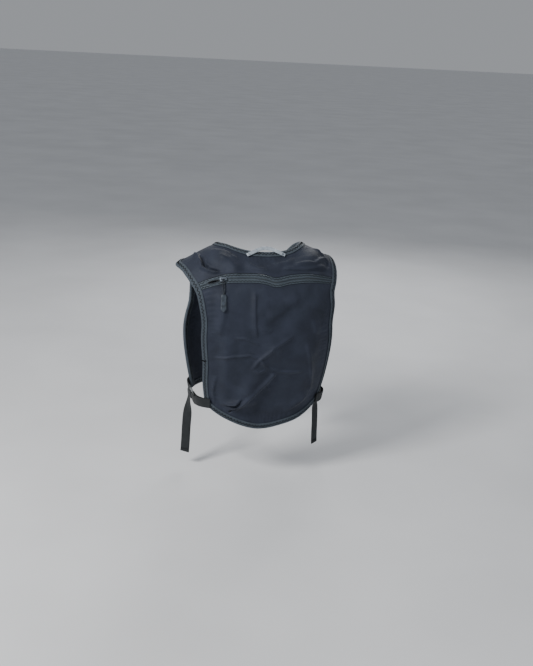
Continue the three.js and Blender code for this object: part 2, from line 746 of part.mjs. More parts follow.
// A wall over the pocket's inner face at levels given as shares of its length from the top. heights
// are those of the wall's two faces over the pocket's inner face.
function pocketWall(side, levels, heights) {
  const faces = heights.map(() => []);
  for (const down of levels) {
    const drop = FRONT_LENGTH - POCKET_FOOT - (1 - down) * POCKET_LENGTH;
    const neck = neckPlace(side, neckAt(drop)).reach;
    const armhole = armholeReach(side, drop);
    const first = neck + (side * POCKET_INSET) / reachLength(neck, drop);
    const last = armhole - (side * POCKET_INSET) / reachLength(armhole, drop);
    const rows = heights.map(() => []);
    for (let j = 0; j <= POCKET_COLUMNS; j += 1) {
      const across = (1 - Math.cos((Math.PI * j) / POCKET_COLUMNS)) / 2;
      const place = { reach: mix(first, last, across), drop };
      const base = SKIN_GAP + SHELL_WALL + PIECE_GAP + pocketBulge(across, down);
      heights.forEach((height, k) => rows[k].push(lifted(place, base + height)));
    }
    rows.forEach((row, k) => faces[k].push(row));
  }
  return wallGeometry(faces[1], faces[0]);
}

function makePocket(side) {
  const rest = Math.round((POCKET_LENGTH - POCKET_RIM) / FRONT_STEP);
  const levels = [0];
  for (let i = 0; i <= rest; i += 1) levels.push(mix(POCKET_RIM / POCKET_LENGTH, 1, i / rest));
  return pocketWall(side, levels, [0, POCKET_WALL]);
}

function makePocketRim(side) {
  const low = POCKET_WALL + PIECE_GAP;
  return pocketWall(side, [0, POCKET_RIM / POCKET_LENGTH], [low, low + POCKET_RIM_WALL]);
}

// Directions in which an edge's path leaves its start and its end.
function pathEnds(path) {
  const last = path.length - 1;
  const run = (a, b) =>
    bodyPoint(path[b].reach, path[b].drop).sub(bodyPoint(path[a].reach, path[a].drop)).normalize();
  return { start: run(0, 1), end: run(last, last - 1) };
}

function armholePath(side) {
  const curve = (share) => armholePlace(side, mix(-BACK_LENGTH, FRONT_LENGTH, share));
  return spaced(curve, TAPE_STEP);
}

function hemPath() {
  return spaced(hemPlace, TAPE_STEP);
}

function neckPath() {
  const curve = (share) => neckPlace(share < 0.5 ? -1 : 1, Math.abs(2 * share - 1));
  return spaced(curve, TAPE_STEP);
}

function frontHemPath(side) {
  const from = neckPlace(side, 1).reach;
  const to = armholeReach(side, FRONT_LENGTH);
  return spaced((share) => ({ reach: mix(from, to, share), drop: FRONT_LENGTH }), TAPE_STEP);
}

function makeArmholeBinding(side) {
  const path = armholePath(side);
  const hem = pathEnds(hemPath());
  const frontHem = pathEnds(frontHemPath(side));
  return bindingGeometry(path, side, [side < 0 ? hem.start : hem.end, frontHem.end]);
}

function makeHemBinding() {
  const leftArmhole = pathEnds(armholePath(-1));
  const rightArmhole = pathEnds(armholePath(1));
  return bindingGeometry(hemPath(), 1, [leftArmhole.start, rightArmhole.start]);
}

function makeNeckBinding() {
  const left = pathEnds(frontHemPath(-1));
  const right = pathEnds(frontHemPath(1));
  return bindingGeometry(neckPath(), -1, [left.start, right.start]);
}

function makeFrontHem(side) {
  const neck = pathEnds(neckPath());
  const armhole = pathEnds(armholePath(side));
  return bindingGeometry(frontHemPath(side), -side, [side < 0 ? neck.start : neck.end, armhole.end]);
}

// An outline pulled up from one height to another.
function extruded(shape, from, to, curveSegments = 1) {
  const depth = to - from;
  const geometry = new THREE.ExtrudeGeometry(shape, { depth, curveSegments, bevelEnabled: false });
  return geometry.translate(0, 0, from);
}

// A geometry moved into a frame: its z along the normal, its y along the frame's across.
function placed(geometry, frame) {
  const right = frame.across.clone().cross(frame.normal);
  const basis = new THREE.Matrix4().makeBasis(right, frame.across, frame.normal);
  return geometry.applyMatrix4(basis.setPosition(frame.point));
}

function toSolid(geometry) {
  const bare = new THREE.BufferGeometry()
    .setAttribute("position", geometry.getAttribute("position"))
    .setIndex(geometry.getIndex());
  const merged = mergeVertices(bare);
  return new wasm.Manifold(
    new wasm.Mesh({
      numProp: 3,
      vertProperties: merged.getAttribute("position").array,
      triVerts: merged.getIndex().array,
    }),
  );
}

function toGeometry(solid) {
  const { vertProperties, triVerts } = solid.getMesh();
  return new THREE.BufferGeometry()
    .setAttribute("position", new THREE.BufferAttribute(vertProperties, 3))
    .setIndex(new THREE.BufferAttribute(triVerts, 1));
}

// A plate of an outline, with slots cut through, standing on the plane of a frame.
function plateGeometry(shape, slots, thickness, frame) {
  const plate = slots.reduce(
    (solid, slot) => solid.subtract(toSolid(extruded(slot, -CUT_SPARE, thickness + CUT_SPARE))),
    toSolid(extruded(shape, 0, thickness)),
  );
  return placed(toGeometry(plate), frame);
}

// Frame of the cloth's surface at a place: along runs to the wearer's right.
function surfaceFrame(place, lift) {
  const { point, normal, overReach } = bodyFrame(place.reach, place.drop);
  const along = overReach.clone().normalize();
  const across = normal.clone().cross(along);
  return { point: point.addScaledVector(normal, lift), normal, along, across };
}

// The zip's band, a strip of cloth with its mouth cut through beside the slider.
function makeZipTape() {
  const inset = zipShare(EDGE_INSET);
  const course = spaced((share) => zipPlace(mix(inset, 1 - inset, share), 0.5), PANEL_STEP);
  const levels = [0, 1 / 3, 2 / 3, 1];
  const grid = levels.map((level) =>
    course.map((_, i) => zipPlace(mix(inset, 1 - inset, i / (course.length - 1)), level)),
  );
  const place = zipPlace(zipShare(ZIP_MOUTH_START + ZIP_MOUTH_LENGTH / 2), 0.5);
  const shape = new THREE.Shape();
  shape.absellipse(0, 0, ZIP_MOUTH_LENGTH / 2, ZIP_MOUTH_HEIGHT / 2, 0, 2 * Math.PI);
  const cutter = extruded(shape, -ZIP_WIDTH / 2, ZIP_WIDTH / 2, ZIP_MOUTH_SIDES);
  const tape = toSolid(clothGeometry(grid, panelLift));
  return toGeometry(tape.subtract(toSolid(placed(cutter, surfaceFrame(place, 0)))));
}

function sliderPlace() {
  const middle = ZIP_MOUTH_START + ZIP_MOUTH_LENGTH + SLIDER_LENGTH / 2;
  return zipPlace(zipShare(middle), 0.5);
}

function outerLift(place) {
  return panelLift(place)[1];
}

// The slider narrows towards the closed side of the zip.
function makeSlider() {
  const place = sliderPlace();
  const end = SLIDER_LENGTH / 2;
  const half = SLIDER_WIDTH / 2;
  const shape = new THREE.Shape([
    new THREE.Vector2(-end, SLIDER_CORNER - half),
    new THREE.Vector2(SLIDER_CORNER - end, -half),
    new THREE.Vector2(0, -half),
    new THREE.Vector2(end, -SLIDER_NOSE / 2),
    new THREE.Vector2(end, SLIDER_NOSE / 2),
    new THREE.Vector2(0, half),
    new THREE.Vector2(SLIDER_CORNER - end, half),
    new THREE.Vector2(-end, half - SLIDER_CORNER),
  ]);
  return plateGeometry(shape, [], SLIDER_HEIGHT, surfaceFrame(place, outerLift(place) + PIECE_GAP));
}

// Points that hang straight down from the slider over the panel, at distances below its middle.
function pullPoint(distance) {
  const top = sliderPlace();
  const drop = top.drop - distance;
  const x = top.reach * bodySection(-top.drop).halfWidth;
  const place = { reach: x / bodySection(-drop).halfWidth, drop };
  return { place, point: lifted(place, outerLift(place) + PULL_LIFT) };
}

function makePullLoop() {
  const start = SLIDER_WIDTH / 2 + PIECE_GAP;
  const sideways = new THREE.Vector3(1, 0, 0);
  const stations = [0, 0.25, 0.5, 0.75, 1].map((share) => ({
    point: pullPoint(start + share * PULL_LOOP_LENGTH).point,
    across: sideways,
  }));
  return webbingGeometry(stations, PULL_LOOP_THICKNESS, PULL_LOOP_THICKNESS);
}

// The moulded tab, a long plate with a blunt point at its lower end.
function makePullTab() {
  const top = SLIDER_WIDTH / 2 + 2 * PIECE_GAP + PULL_LOOP_LENGTH;
  const upper = pullPoint(top).point;
  const lower = pullPoint(top + PULL_TAB_LENGTH).point;
  const middle = pullPoint(top + PULL_TAB_LENGTH / 2).point;
  const bulge = middle.distanceTo(upper.clone().add(lower).divideScalar(2));
  const down = lower.sub(upper).normalize();
  const along = new THREE.Vector3(1, 0, 0);
  const across = down.clone().negate();
  const normal = along.clone().cross(across).normalize();
  const half = PULL_TAB_WIDTH / 2;
  const shape = new THREE.Shape([
    new THREE.Vector2(-PULL_TAB_HEAD / 2, 0),
    new THREE.Vector2(-half, -PULL_TAB_POINT),
    new THREE.Vector2(-half, PULL_TAB_POINT - PULL_TAB_LENGTH),
    new THREE.Vector2(0, -PULL_TAB_LENGTH),
    new THREE.Vector2(half, PULL_TAB_POINT - PULL_TAB_LENGTH),
    new THREE.Vector2(half, -PULL_TAB_POINT),
    new THREE.Vector2(PULL_TAB_HEAD / 2, 0),
  ]);
  const point = upper.addScaledVector(normal, bulge - PULL_TAB_THICKNESS / 2);
  return plateGeometry(shape, [], PULL_TAB_THICKNESS, { across, normal, point });
}

// An arch of narrow webbing that stands off the yoke, its ends on the neck binding's lower edge.
function makeHangLoop() {
  const half = bodySection(0).halfWidth;
  const steps = 14;
  const stations = [];
  for (let i = 0; i <= steps; i += 1) {
    const share = i / steps;
    const reach = (HANG_OFFSET + HANG_SPAN * (share - 0.5)) / half;
    const arch = Math.sin(Math.PI * share);
    const neck = readTable(NECK, "reach", "drop", Math.abs(reach)) * BACK_LENGTH;
    const drop = neck - BINDING_WIDTH - HANG_WEBBING_WIDTH / 2 + HANG_RISE * arch;
    const lift = TRIM_LIFT + HANG_WEBBING_WALL / 2 + HANG_STAND_OFF * arch;
    const place = { reach, drop };
    stations.push({ place, point: lifted(place, lift) });
  }
  stations.forEach((station, i) => {
    const before = stations[Math.max(0, i - 1)].point;
    const after = stations[Math.min(steps, i + 1)].point;
    const { normal } = bodyFrame(station.place.reach, station.place.drop);
    station.across = normal.cross(after.clone().sub(before)).normalize();
  });
  return webbingGeometry(stations, HANG_WEBBING_WIDTH, HANG_WEBBING_WALL);
}

// The level course round the body that the side straps follow, from the back's edge to the front's.
// It gives a point and an outward normal for a distance from the back panel's edge.
function girdle(side) {
  const power = 2 / SECTION_POWER;
  const angleAt = (reach) => Math.asin(Math.pow(Math.abs(reach), 1 / power));
  const start = angleAt(armholeReach(side, -BACK_LENGTH));
  const end = Math.PI - angleAt(armholeReach(side, FRONT_LENGTH));
  const at = (angle, above = 0) => {
    const s = bodySection(STRAP_DROP - above);
    const share = Math.min(1, Math.max(0, (angle - start) / (end - start)));
    const pull = STRAP_PULL * Math.sin(Math.PI * share) ** 2;
    const z = -BLADE_DROP - s.fall;
    const sine = Math.sin(angle);
    const cosine = Math.cos(angle);
    const depth = cosine > 0 ? -s.back : s.front;
    const y = depth * Math.pow(Math.abs(cosine), power);
    return new THREE.Vector3(side * (s.halfWidth * Math.pow(sine, power) - pull), y, z);
  };
  const lap = 0.35; // angle that the course runs past each edge
  const samples = 400;
  const course = [];
  const rises = [];
  for (let i = 0; i <= samples; i += 1) {
    const angle = mix(start - lap, end + lap, i / samples);
    course.push(at(angle));
    rises.push(at(angle, 1).sub(at(angle, -1)).normalize());
  }
  const lengths = [0];
  for (let i = 1; i <= samples; i += 1) {
    lengths.push(lengths[i - 1] + course[i].distanceTo(course[i - 1]));
  }
  const lengthAt = (angle) => {
    const place = ((angle - start + lap) / (end - start + 2 * lap)) * samples;
    const i = Math.min(samples - 1, Math.floor(place));
    return mix(lengths[i], lengths[i + 1], place - i);
  };
  const origin = lengthAt(start);
  const frameAt = (distance) => {
    let i = 1;
    while (i < samples - 1 && lengths[i + 1] < origin + distance) i += 1;
    const share = (origin + distance - lengths[i]) / (lengths[i + 1] - lengths[i]);
    const point = course[i].clone().lerp(course[i + 1], share);
    const along = course[i + 1].clone().sub(course[i - 1]).normalize();
    const normal = along.clone().cross(rises[i]).multiplyScalar(side).normalize();
    const across = normal.clone().cross(along).multiplyScalar(side);
    return { point, along, across, normal };
  };
  return { frameAt, length: lengthAt(end) - origin };
}

const STRAP_LIFT = TRIM_LIFT + WEBBING_WALL / 2;
const TURN_REACH = 12.5; // from a fitting's middle to where a webbing leaves its plane

function turnRadius(barWall) {
  return barWall / 2 + TURN_CLEARANCE + WEBBING_WALL / 2;
}

// A frame moved outwards along its normal.
function raised(frame, lift) {
  return { ...frame, point: frame.point.clone().addScaledVector(frame.normal, lift) };
}

// A station of a webbing in a fitting's frame.
function fittingStation(frame, along, out) {
  const point = frame.point
    .clone()
    .addScaledVector(frame.along, along)
    .addScaledVector(frame.normal, out);
  return { point, across: frame.across };
}

// Stations of a webbing that goes round a bar, from its outer side to its inner side.
// heading is the way along the frame that it turns towards.
function turnStations(frame, bar, heading, barWall) {
  const radius = turnRadius(barWall);
  const steps = 4;
  const stations = [];
  for (let i = 0; i <= steps; i += 1) {
    const angle = (Math.PI * i) / steps;
    const along = bar + heading * (TURN_CLEARANCE + radius * Math.sin(angle));
    stations.push(fittingStation(frame, along, radius * Math.cos(angle)));
  }
  return stations;
}

// Stations along a girdle from one distance to another, its lift changing evenly.
function girdleStations(course, from, to, fromLift, toLift) {
  const steps = Math.max(2, Math.round((2 * Math.abs(to - from)) / TAPE_STEP));
  const stations = [];
  for (let i = 0; i <= steps; i += 1) {
    const frame = course.frameAt(mix(from, to, i / steps));
    stations.push(fittingStation(frame, 0, mix(fromLift, toLift, i / steps)));
  }
  return stations;
}

function lockFrame(course) {
  return raised(course.frameAt(LOCK_PLACE), STRAP_LIFT + turnRadius(LOCK_WALL));
}

// Doubled webbing from the back panel's corner round the ladder lock's rear bar.
function makeLockLoop(side) {
  const course = girdle(side);
  const frame = lockFrame(course);
  const radius = turnRadius(LOCK_WALL);
  const leave = LOCK_PLACE - TURN_REACH - TAPE_STEP / 2;
  const upper = STRAP_LIFT + WEBBING_WALL + PIECE_GAP;
  const outer = girdleStations(course, -STRAP_LAP, leave, upper, STRAP_LIFT + 2 * radius);
  outer.push(fittingStation(frame, -TURN_REACH, radius));
  const turn = turnStations(frame, -LOCK_SLOT - LOCK_BAR, 1, LOCK_WALL);
  const inner = girdleStations(course, leave, -STRAP_LAP, STRAP_LIFT, STRAP_LIFT);
  return webbingGeometry([...outer, ...turn, ...inner], WEBBING_WIDTH, WEBBING_WALL);
}

// A frame with two slots for the webbings.
function makeLadderLock(side) {
  const length = 3 * LOCK_BAR + 2 * LOCK_SLOT;
  const opening = WEBBING_WIDTH + 2 * PIECE_GAP;
  const shape = rectangle(0, length, opening + 2 * LOCK_RIM, LOCK_RIM / 2);
  const slotPlace = (LOCK_SLOT + LOCK_BAR) / 2;
  const slots = [-slotPlace, slotPlace].map((place) => rectangle(place, LOCK_SLOT, opening, 0));
  const frame = raised(lockFrame(girdle(side)), -LOCK_WALL / 2);
  return plateGeometry(shape, slots, LOCK_WALL, frame);
}

// Webbing from the front panel under the ladder lock's front bar, up through the slot and back over
// the bar, with its free tail hanging down.
function makeSideStrap(side) {
  const course = girdle(side);
  const frame = lockFrame(course);
  const radius = turnRadius(LOCK_WALL);
  const leave = LOCK_PLACE + TURN_REACH;
  const inner = girdleStations(course, course.length + STRAP_LAP, leave, STRAP_LIFT, STRAP_LIFT);
  const turn = turnStations(frame, LOCK_SLOT + LOCK_BAR, -1, LOCK_WALL).reverse();
  const bendStart = TURN_REACH + TAIL_START;
  const tail = [fittingStation(frame, TURN_REACH, radius)];
  const bendSteps = 4;
  for (let i = 0; i <= bendSteps; i += 1) {
    const angle = (Math.PI * i) / (2 * bendSteps);
    const station = fittingStation(frame, bendStart + TAIL_BEND * Math.sin(angle), radius);
    station.point.addScaledVector(frame.across, TAIL_BEND * (Math.cos(angle) - 1));
    station.across = frame.across
      .clone()
      .multiplyScalar(Math.cos(angle))
      .addScaledVector(frame.along, Math.sin(angle));
    tail.push(station);
  }
  const last = tail[tail.length - 1];
  const upright = new THREE.Vector3(0, 0, 1);
  const tailSteps = 9;
  for (let i = 1; i <= tailSteps; i += 1) {
    const share = i / tailSteps;
    const point = last.point
      .clone()
      .addScaledVector(upright, -TAIL_LENGTH * share)
      .addScaledVector(frame.normal, TAIL_SWING * share);
    const turn = -side * TAIL_TURN * smooth(share / TAIL_TURN_SHARE);
    tail.push({ point, across: last.across.clone().applyAxisAngle(upright, turn) });
  }
  return webbingGeometry([...inner, ...turn, ...tail], WEBBING_WIDTH, WEBBING_WALL);
}

function claspFrame() {
  const place = { reach: 0, drop: CHEST_STRAP_DROP };
  return surfaceFrame(place, STRAP_LIFT + turnRadius(CLASP_WALL));
}

// Station of a chest strap on the cloth, at a distance from the middle of the front.
function chestStation(side, distance, lift) {
  const reach = (side * distance) / bodySection(CHEST_STRAP_DROP).halfWidth;
  return fittingStation(surfaceFrame({ reach, drop: CHEST_STRAP_DROP }, lift), 0, 0);
}

// Webbing from a front panel round the clasp's end bar, with a short sewn return.
function makeChestStrap(side) {
  const frame = claspFrame();
  const bar = (CLASP_LENGTH - CLASP_BAR) / 2;
  const half = bodySection(CHEST_STRAP_DROP).halfWidth;
  const neck = Math.abs(neckPlace(side, neckAt(CHEST_STRAP_DROP)).reach) * half;
  const start = neck + BINDING_WIDTH + STRAP_LAP;
  const leave = (CLASP_LENGTH + TAPE_STEP) / 2;
  const steps = 5;
  const inner = [];
  for (let i = 0; i <= steps; i += 1) {
    inner.push(chestStation(side, mix(start, leave, i / steps), STRAP_LIFT));
  }
  const turn = turnStations(frame, side * bar, -side, CLASP_WALL).reverse();
  const over = fittingStation(frame, side * (bar + CLASP_BAR), turnRadius(CLASP_WALL));
  const returnLift = STRAP_LIFT + WEBBING_WALL + CHEST_TURN_GAP;
  const end = chestStation(side, CLASP_LENGTH / 2 + CHEST_TURN_BACK, returnLift);
  return webbingGeometry([...inner, ...turn, over, end], CHEST_STRAP_WIDTH, WEBBING_WALL);
}

// One plain clasp with a slot at each end.
function makeClasp() {
  const shape = rectangle(0, CLASP_LENGTH, CLASP_WIDTH, CLASP_CORNER);
  const opening = CHEST_STRAP_WIDTH + 2 * PIECE_GAP;
  const slotPlace = CLASP_LENGTH / 2 - CLASP_BAR - CLASP_SLOT / 2;
  const slots = [-slotPlace, slotPlace].map((place) => rectangle(place, CLASP_SLOT, opening, 0));
  return plateGeometry(shape, slots, CLASP_WALL, raised(claspFrame(), -CLASP_WALL / 2));
}

// A rectangle whose middle is at a place along its length, its corners cut off.
function rectangle(place, length, width, corner) {
  const x = length / 2;
  const y = width / 2;
  const points = [
    [-x + corner, -y],
    [x - corner, -y],
    [x, -y + corner],
    [x, y - corner],
    [x - corner, y],
    [-x + corner, y],
    [-x, y - corner],
    [-x, -y + corner],
  ].map(([px, py]) => new THREE.Vector2(place + px, py));
  return new THREE.Shape(corner > 0 ? points : points.filter((_, i) => i % 2 === 0));
}

const SHELL_CLOTH = { color: 0x424652, roughness: 0.8, metalness: 0 };
const LINER_CLOTH = { color: 0x34373f, roughness: 0.9, metalness: 0 };
const EDGE_TAPE = { color: 0x333a44, roughness: 0.85, metalness: 0 };
const ZIP_BAND = { color: 0x49525c, roughness: 0.6, metalness: 0 };
const SLIDER_METAL = { color: 0x616871, roughness: 0.4, metalness: 0.6 };
const PULL_MOULDING = { color: 0x3c454f, roughness: 0.5, metalness: 0 };
const PALE_WEBBING = { color: 0xa4b0bb, roughness: 0.8, metalness: 0 };
const DARK_WEBBING = { color: 0x272a2b, roughness: 0.85, metalness: 0 };
const HARD_PLASTIC = { color: 0x1c1e20, roughness: 0.35, metalness: 0 };

const vest = new THREE.Group();

function add(name, geometry, finish) {
  const mesh = new THREE.Mesh(geometry, new THREE.MeshStandardMaterial(finish));
  mesh.name = name;
  vest.add(mesh);
}

add("yoke", makeYoke(), SHELL_CLOTH);
add("back_panel", makeBackPanel(), SHELL_CLOTH);
add("back_liner", makeBackLiner(), LINER_CLOTH);
add("zip_tape", makeZipTape(), ZIP_BAND);
add("zip_slider", makeSlider(), SLIDER_METAL);
add("zip_pull_loop", makePullLoop(), DARK_WEBBING);
add("zip_pull_tab", makePullTab(), PULL_MOULDING);
add("neck_binding", makeNeckBinding(), EDGE_TAPE);
add("hem_binding", makeHemBinding(), EDGE_TAPE);
add("hang_loop", makeHangLoop(), PALE_WEBBING);
add("sternum_clasp", makeClasp(), HARD_PLASTIC);

for (const [side, word] of [
  [-1, "left"],
  [1, "right"],
]) {
  add(`front_panel_${word}`, makeFrontPanel(side), SHELL_CLOTH);
  add(`front_pocket_${word}`, makePocket(side), SHELL_CLOTH);
  add(`pocket_rim_${word}`, makePocketRim(side), EDGE_TAPE);
  add(`armhole_binding_${word}`, makeArmholeBinding(side), EDGE_TAPE);
  add(`front_hem_${word}`, makeFrontHem(side), EDGE_TAPE);
  add(`lock_loop_${word}`, makeLockLoop(side), DARK_WEBBING);
  add(`ladder_lock_${word}`, makeLadderLock(side), HARD_PLASTIC);
  add(`side_strap_${word}`, makeSideStrap(side), DARK_WEBBING);
  add(`sternum_strap_${word}`, makeChestStrap(side), DARK_WEBBING);
}

export default vest;
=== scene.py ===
# The look of the running hydration vest: its cloth with folds, its bindings with stitches, the zip,
# the webbing and the fittings. Everything is laid on the same body form as the solids.
# Frame: +Z up, +Y towards the wearer's front, +X towards the wearer's right hand.
# Sizes are millimetres here, and become metres where a mesh is made.

import math

import bpy
import numpy as np
from mathutils import Matrix, Vector


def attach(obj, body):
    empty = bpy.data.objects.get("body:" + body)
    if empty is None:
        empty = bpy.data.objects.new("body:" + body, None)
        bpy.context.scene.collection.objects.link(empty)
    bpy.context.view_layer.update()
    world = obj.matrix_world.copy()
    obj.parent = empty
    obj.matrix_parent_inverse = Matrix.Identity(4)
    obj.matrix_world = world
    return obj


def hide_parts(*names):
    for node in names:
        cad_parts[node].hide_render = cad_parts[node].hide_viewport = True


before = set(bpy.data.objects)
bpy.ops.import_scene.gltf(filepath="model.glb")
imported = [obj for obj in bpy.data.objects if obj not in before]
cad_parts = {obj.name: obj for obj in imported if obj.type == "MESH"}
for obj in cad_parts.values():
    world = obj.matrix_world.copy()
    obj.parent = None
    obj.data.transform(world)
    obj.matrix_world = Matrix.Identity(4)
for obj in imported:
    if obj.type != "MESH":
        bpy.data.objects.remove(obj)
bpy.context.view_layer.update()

# Body form, as the solids have it
SHOULDER_HALF_WIDTH = 200
CHEST_HALF_WIDTH = 160
WAIST_HALF_WIDTH = 127
CHEST_BACK_DEPTH = 100
CHEST_FRONT_DEPTH = 112
WAIST_BACK_DEPTH = 84
WAIST_FRONT_DEPTH = 98
BLADE_DROP = 132
BLADE_TO_WAIST = 220
SHOULDER_ARC = 180
NECK_RISE = 17
SHOULDER_FALL = 42
NECK_REACH = 0.36
TIP_REACH = 0.825
FALL_SOFTNESS = 0.25
SECTION_POWER = 2.5

# Lengths of cloth from the shoulder line
BACK_LENGTH = 340
HEM_DIP = 49
FRONT_EXTRA = 10
FRONT_LENGTH = BACK_LENGTH + FRONT_EXTRA
SEAM_DROP = 14
ZIP_DROP = 98

# Walls of cloth, from the body outwards
SKIN_GAP = 1.5
LINER_WALL = 1
LAYER_GAP = 0.4
PANEL_WALL = 1.1
SHELL_WALL = LINER_WALL + LAYER_GAP + PANEL_WALL
PIECE_GAP = 0.3

# Edge binding
BINDING_WIDTH = 12
BINDING_WALL = 1
BINDING_CLEARANCE = 0.8
CLOTH_SET_BACK = 1.1
EDGE_INSET = BINDING_WALL + CLOTH_SET_BACK
EDGE_FLAT = 2
EDGE_BAND = BINDING_WIDTH + EDGE_FLAT
TRIM_LIFT = SKIN_GAP + SHELL_WALL + BINDING_CLEARANCE + BINDING_WALL + PIECE_GAP

# Zip
ZIP_WIDTH = 15
ZIP_GAP = 0.9
ZIP_MOUTH_START = 26
ZIP_MOUTH_LENGTH = 22
ZIP_MOUTH_HEIGHT = 5
SLIDER_LENGTH = 14
SLIDER_WIDTH = 9
SLIDER_HEIGHT = 4
PULL_LOOP_LENGTH = 20
PULL_TAB_LENGTH = 33
PULL_TAB_WIDTH = 11
PULL_TAB_THICKNESS = 4
PULL_LIFT = 3.3
COIL_RADIUS = 1.0
COIL_PITCH = 1.9

# Hang loop
HANG_WEBBING_WIDTH = 7
HANG_WEBBING_WALL = 1.4
HANG_SPAN = 76
HANG_RISE = 17
HANG_OFFSET = -1
HANG_STAND_OFF = 6
HANG_TURN = 0.7

# Side straps and ladder locks
WEBBING_WIDTH = 20
WEBBING_WALL = 1.4
STRAP_RISE = 4
STRAP_DROP = BACK_LENGTH - STRAP_RISE
STRAP_LAP = 14
STRAP_PULL = 9
LOCK_PLACE = 40
LOCK_BAR = 3.6
LOCK_SLOT = 5
LOCK_RIM = 3
LOCK_WALL = 3.4
TURN_CLEARANCE = 0.7
TURN_REACH = 12.5
TAIL_LENGTH = 124
TAIL_START = 1
TAIL_BEND = 12
TAIL_TURN = 0.9
TAIL_TURN_SHARE = 0.35
TAIL_SWING = 8
STRAP_LIFT = TRIM_LIFT + WEBBING_WALL / 2

# Flask pockets
POCKET_LENGTH = 160
POCKET_FOOT = 26
POCKET_BULGE = 26
POCKET_ROUNDING = 0.2
POCKET_MARGIN = 4
POCKET_INSET = BINDING_WIDTH + POCKET_MARGIN
POCKET_WALL = 1.4
POCKET_RIM = 12
POCKET_RIM_WALL = 1

# Chest strap
CHEST_STRAP_DROP = 128
CHEST_STRAP_WIDTH = 15
CLASP_LENGTH = 44
CLASP_WIDTH = 25
CLASP_WALL = 7
CLASP_BAR = 4
CLASP_SLOT = 5
CHEST_TURN_BACK = 20
CHEST_TURN_GAP = 0.9

# Armhole edge: drop is a share of the back or front length, reach and skew of the body's half width
ARMHOLE = {
    "drop": [
        -1.0, -0.875, -0.73, -0.545, -0.43, -0.335, -0.28, -0.16,
        0.0, 0.12, 0.3, 0.45, 0.62, 0.82, 1.0,
    ],
    "reach": [
        0.865, 0.868, 0.838, 0.816, 0.79, 0.743, 0.745, 0.762,
        0.785, 0.755, 0.7, 0.77, 0.88, 0.925, 0.93,
    ],
    "skew": [
        0.022, 0.035, 0.043, 0.028, 0.02, -0.004, -0.01, -0.03,
        -0.055, -0.03, 0.0, 0.0, 0.0, 0.0, 0.0,
    ],
}
# Neck edge, from the middle of the back to the front's lower inner corner
NECK = {
    "place": [0.0, 0.1, 0.2, 0.3, 0.4, 0.5, 0.6, 0.7, 0.8, 0.9, 1.0],
    "reach": [0.0, 0.13, 0.24, 0.33, 0.385, 0.4, 0.375, 0.305, 0.268, 0.285, 0.37],
    "drop": [-0.125, -0.119, -0.096, -0.055, 0.0, 0.07, 0.17, 0.34, 0.5, 0.75, 1.0],
    "skew": [0.02, 0.02, 0.01, 0.0, -0.01, 0.0, 0.0, 0.0, 0.0, 0.0, 0.0],
}
# Hem of the back from left to right, and the zip's line
HEM = {
    "across": [0.0, 0.06, 0.14, 0.27, 0.4, 0.5, 0.63, 0.82, 0.95, 1.0],
    "dip": [0.0, 0.28, 0.53, 0.81, 0.98, 1.0, 0.9, 0.66, 0.25, 0.0],
}
ZIP_LINE = {
    "across": [0.0, 0.1, 0.25, 0.4, 0.48, 0.55, 0.66, 0.82, 1.0],
    "rise": [-0.2, 0.0, 0.05, 0.05, -0.15, -0.45, -0.15, 0.05, 0.6],
}

# Soft folds that the solids have too: from one reach and drop to another, with shares of both sizes
FOLD_WIDTH = 12
FOLD_HEIGHT = 5
FOLDS = [
    # from_reach, from_drop, to_reach, to_drop, width, height
    (-0.5, 0.0, -0.42, -0.16, 0.9, 1.2),
    (-0.42, -0.16, -0.33, -0.23, 0.9, 0.9),
    (0.05, -0.2, 0.6, -0.12, 1.3, 0.9),
    (-0.05, -0.24, 0.55, -0.2, 1.2, 0.8),
    (0.45, -0.08, 0.62, -0.05, 1.2, 0.8),
    (0.05, -0.62, -0.25, -0.88, 1.4, 1.1),
    (-0.25, -0.88, -0.5, -1.02, 1.2, 1.3),
    (-0.2, -0.96, -0.58, -0.98, 0.9, 1.0),
    (0.05, -0.62, 0.4, -0.48, 1.5, 0.7),
    (0.1, -0.7, 0.5, -0.68, 1.3, 0.5),
    (-0.08, -0.36, -0.06, -0.56, 1.8, 0.6),
    (0.5, -0.66, 0.55, -0.95, 1.8, 0.6),
    (-0.52, -0.62, -0.62, -0.92, 1.2, 0.6),
]
PANEL_FULLNESS = 6
FULLEST_PLACE = 0.55
FULLNESS_SPREAD = 0.41
CALM_MARGIN = 6
CALM_WIDTH = 26

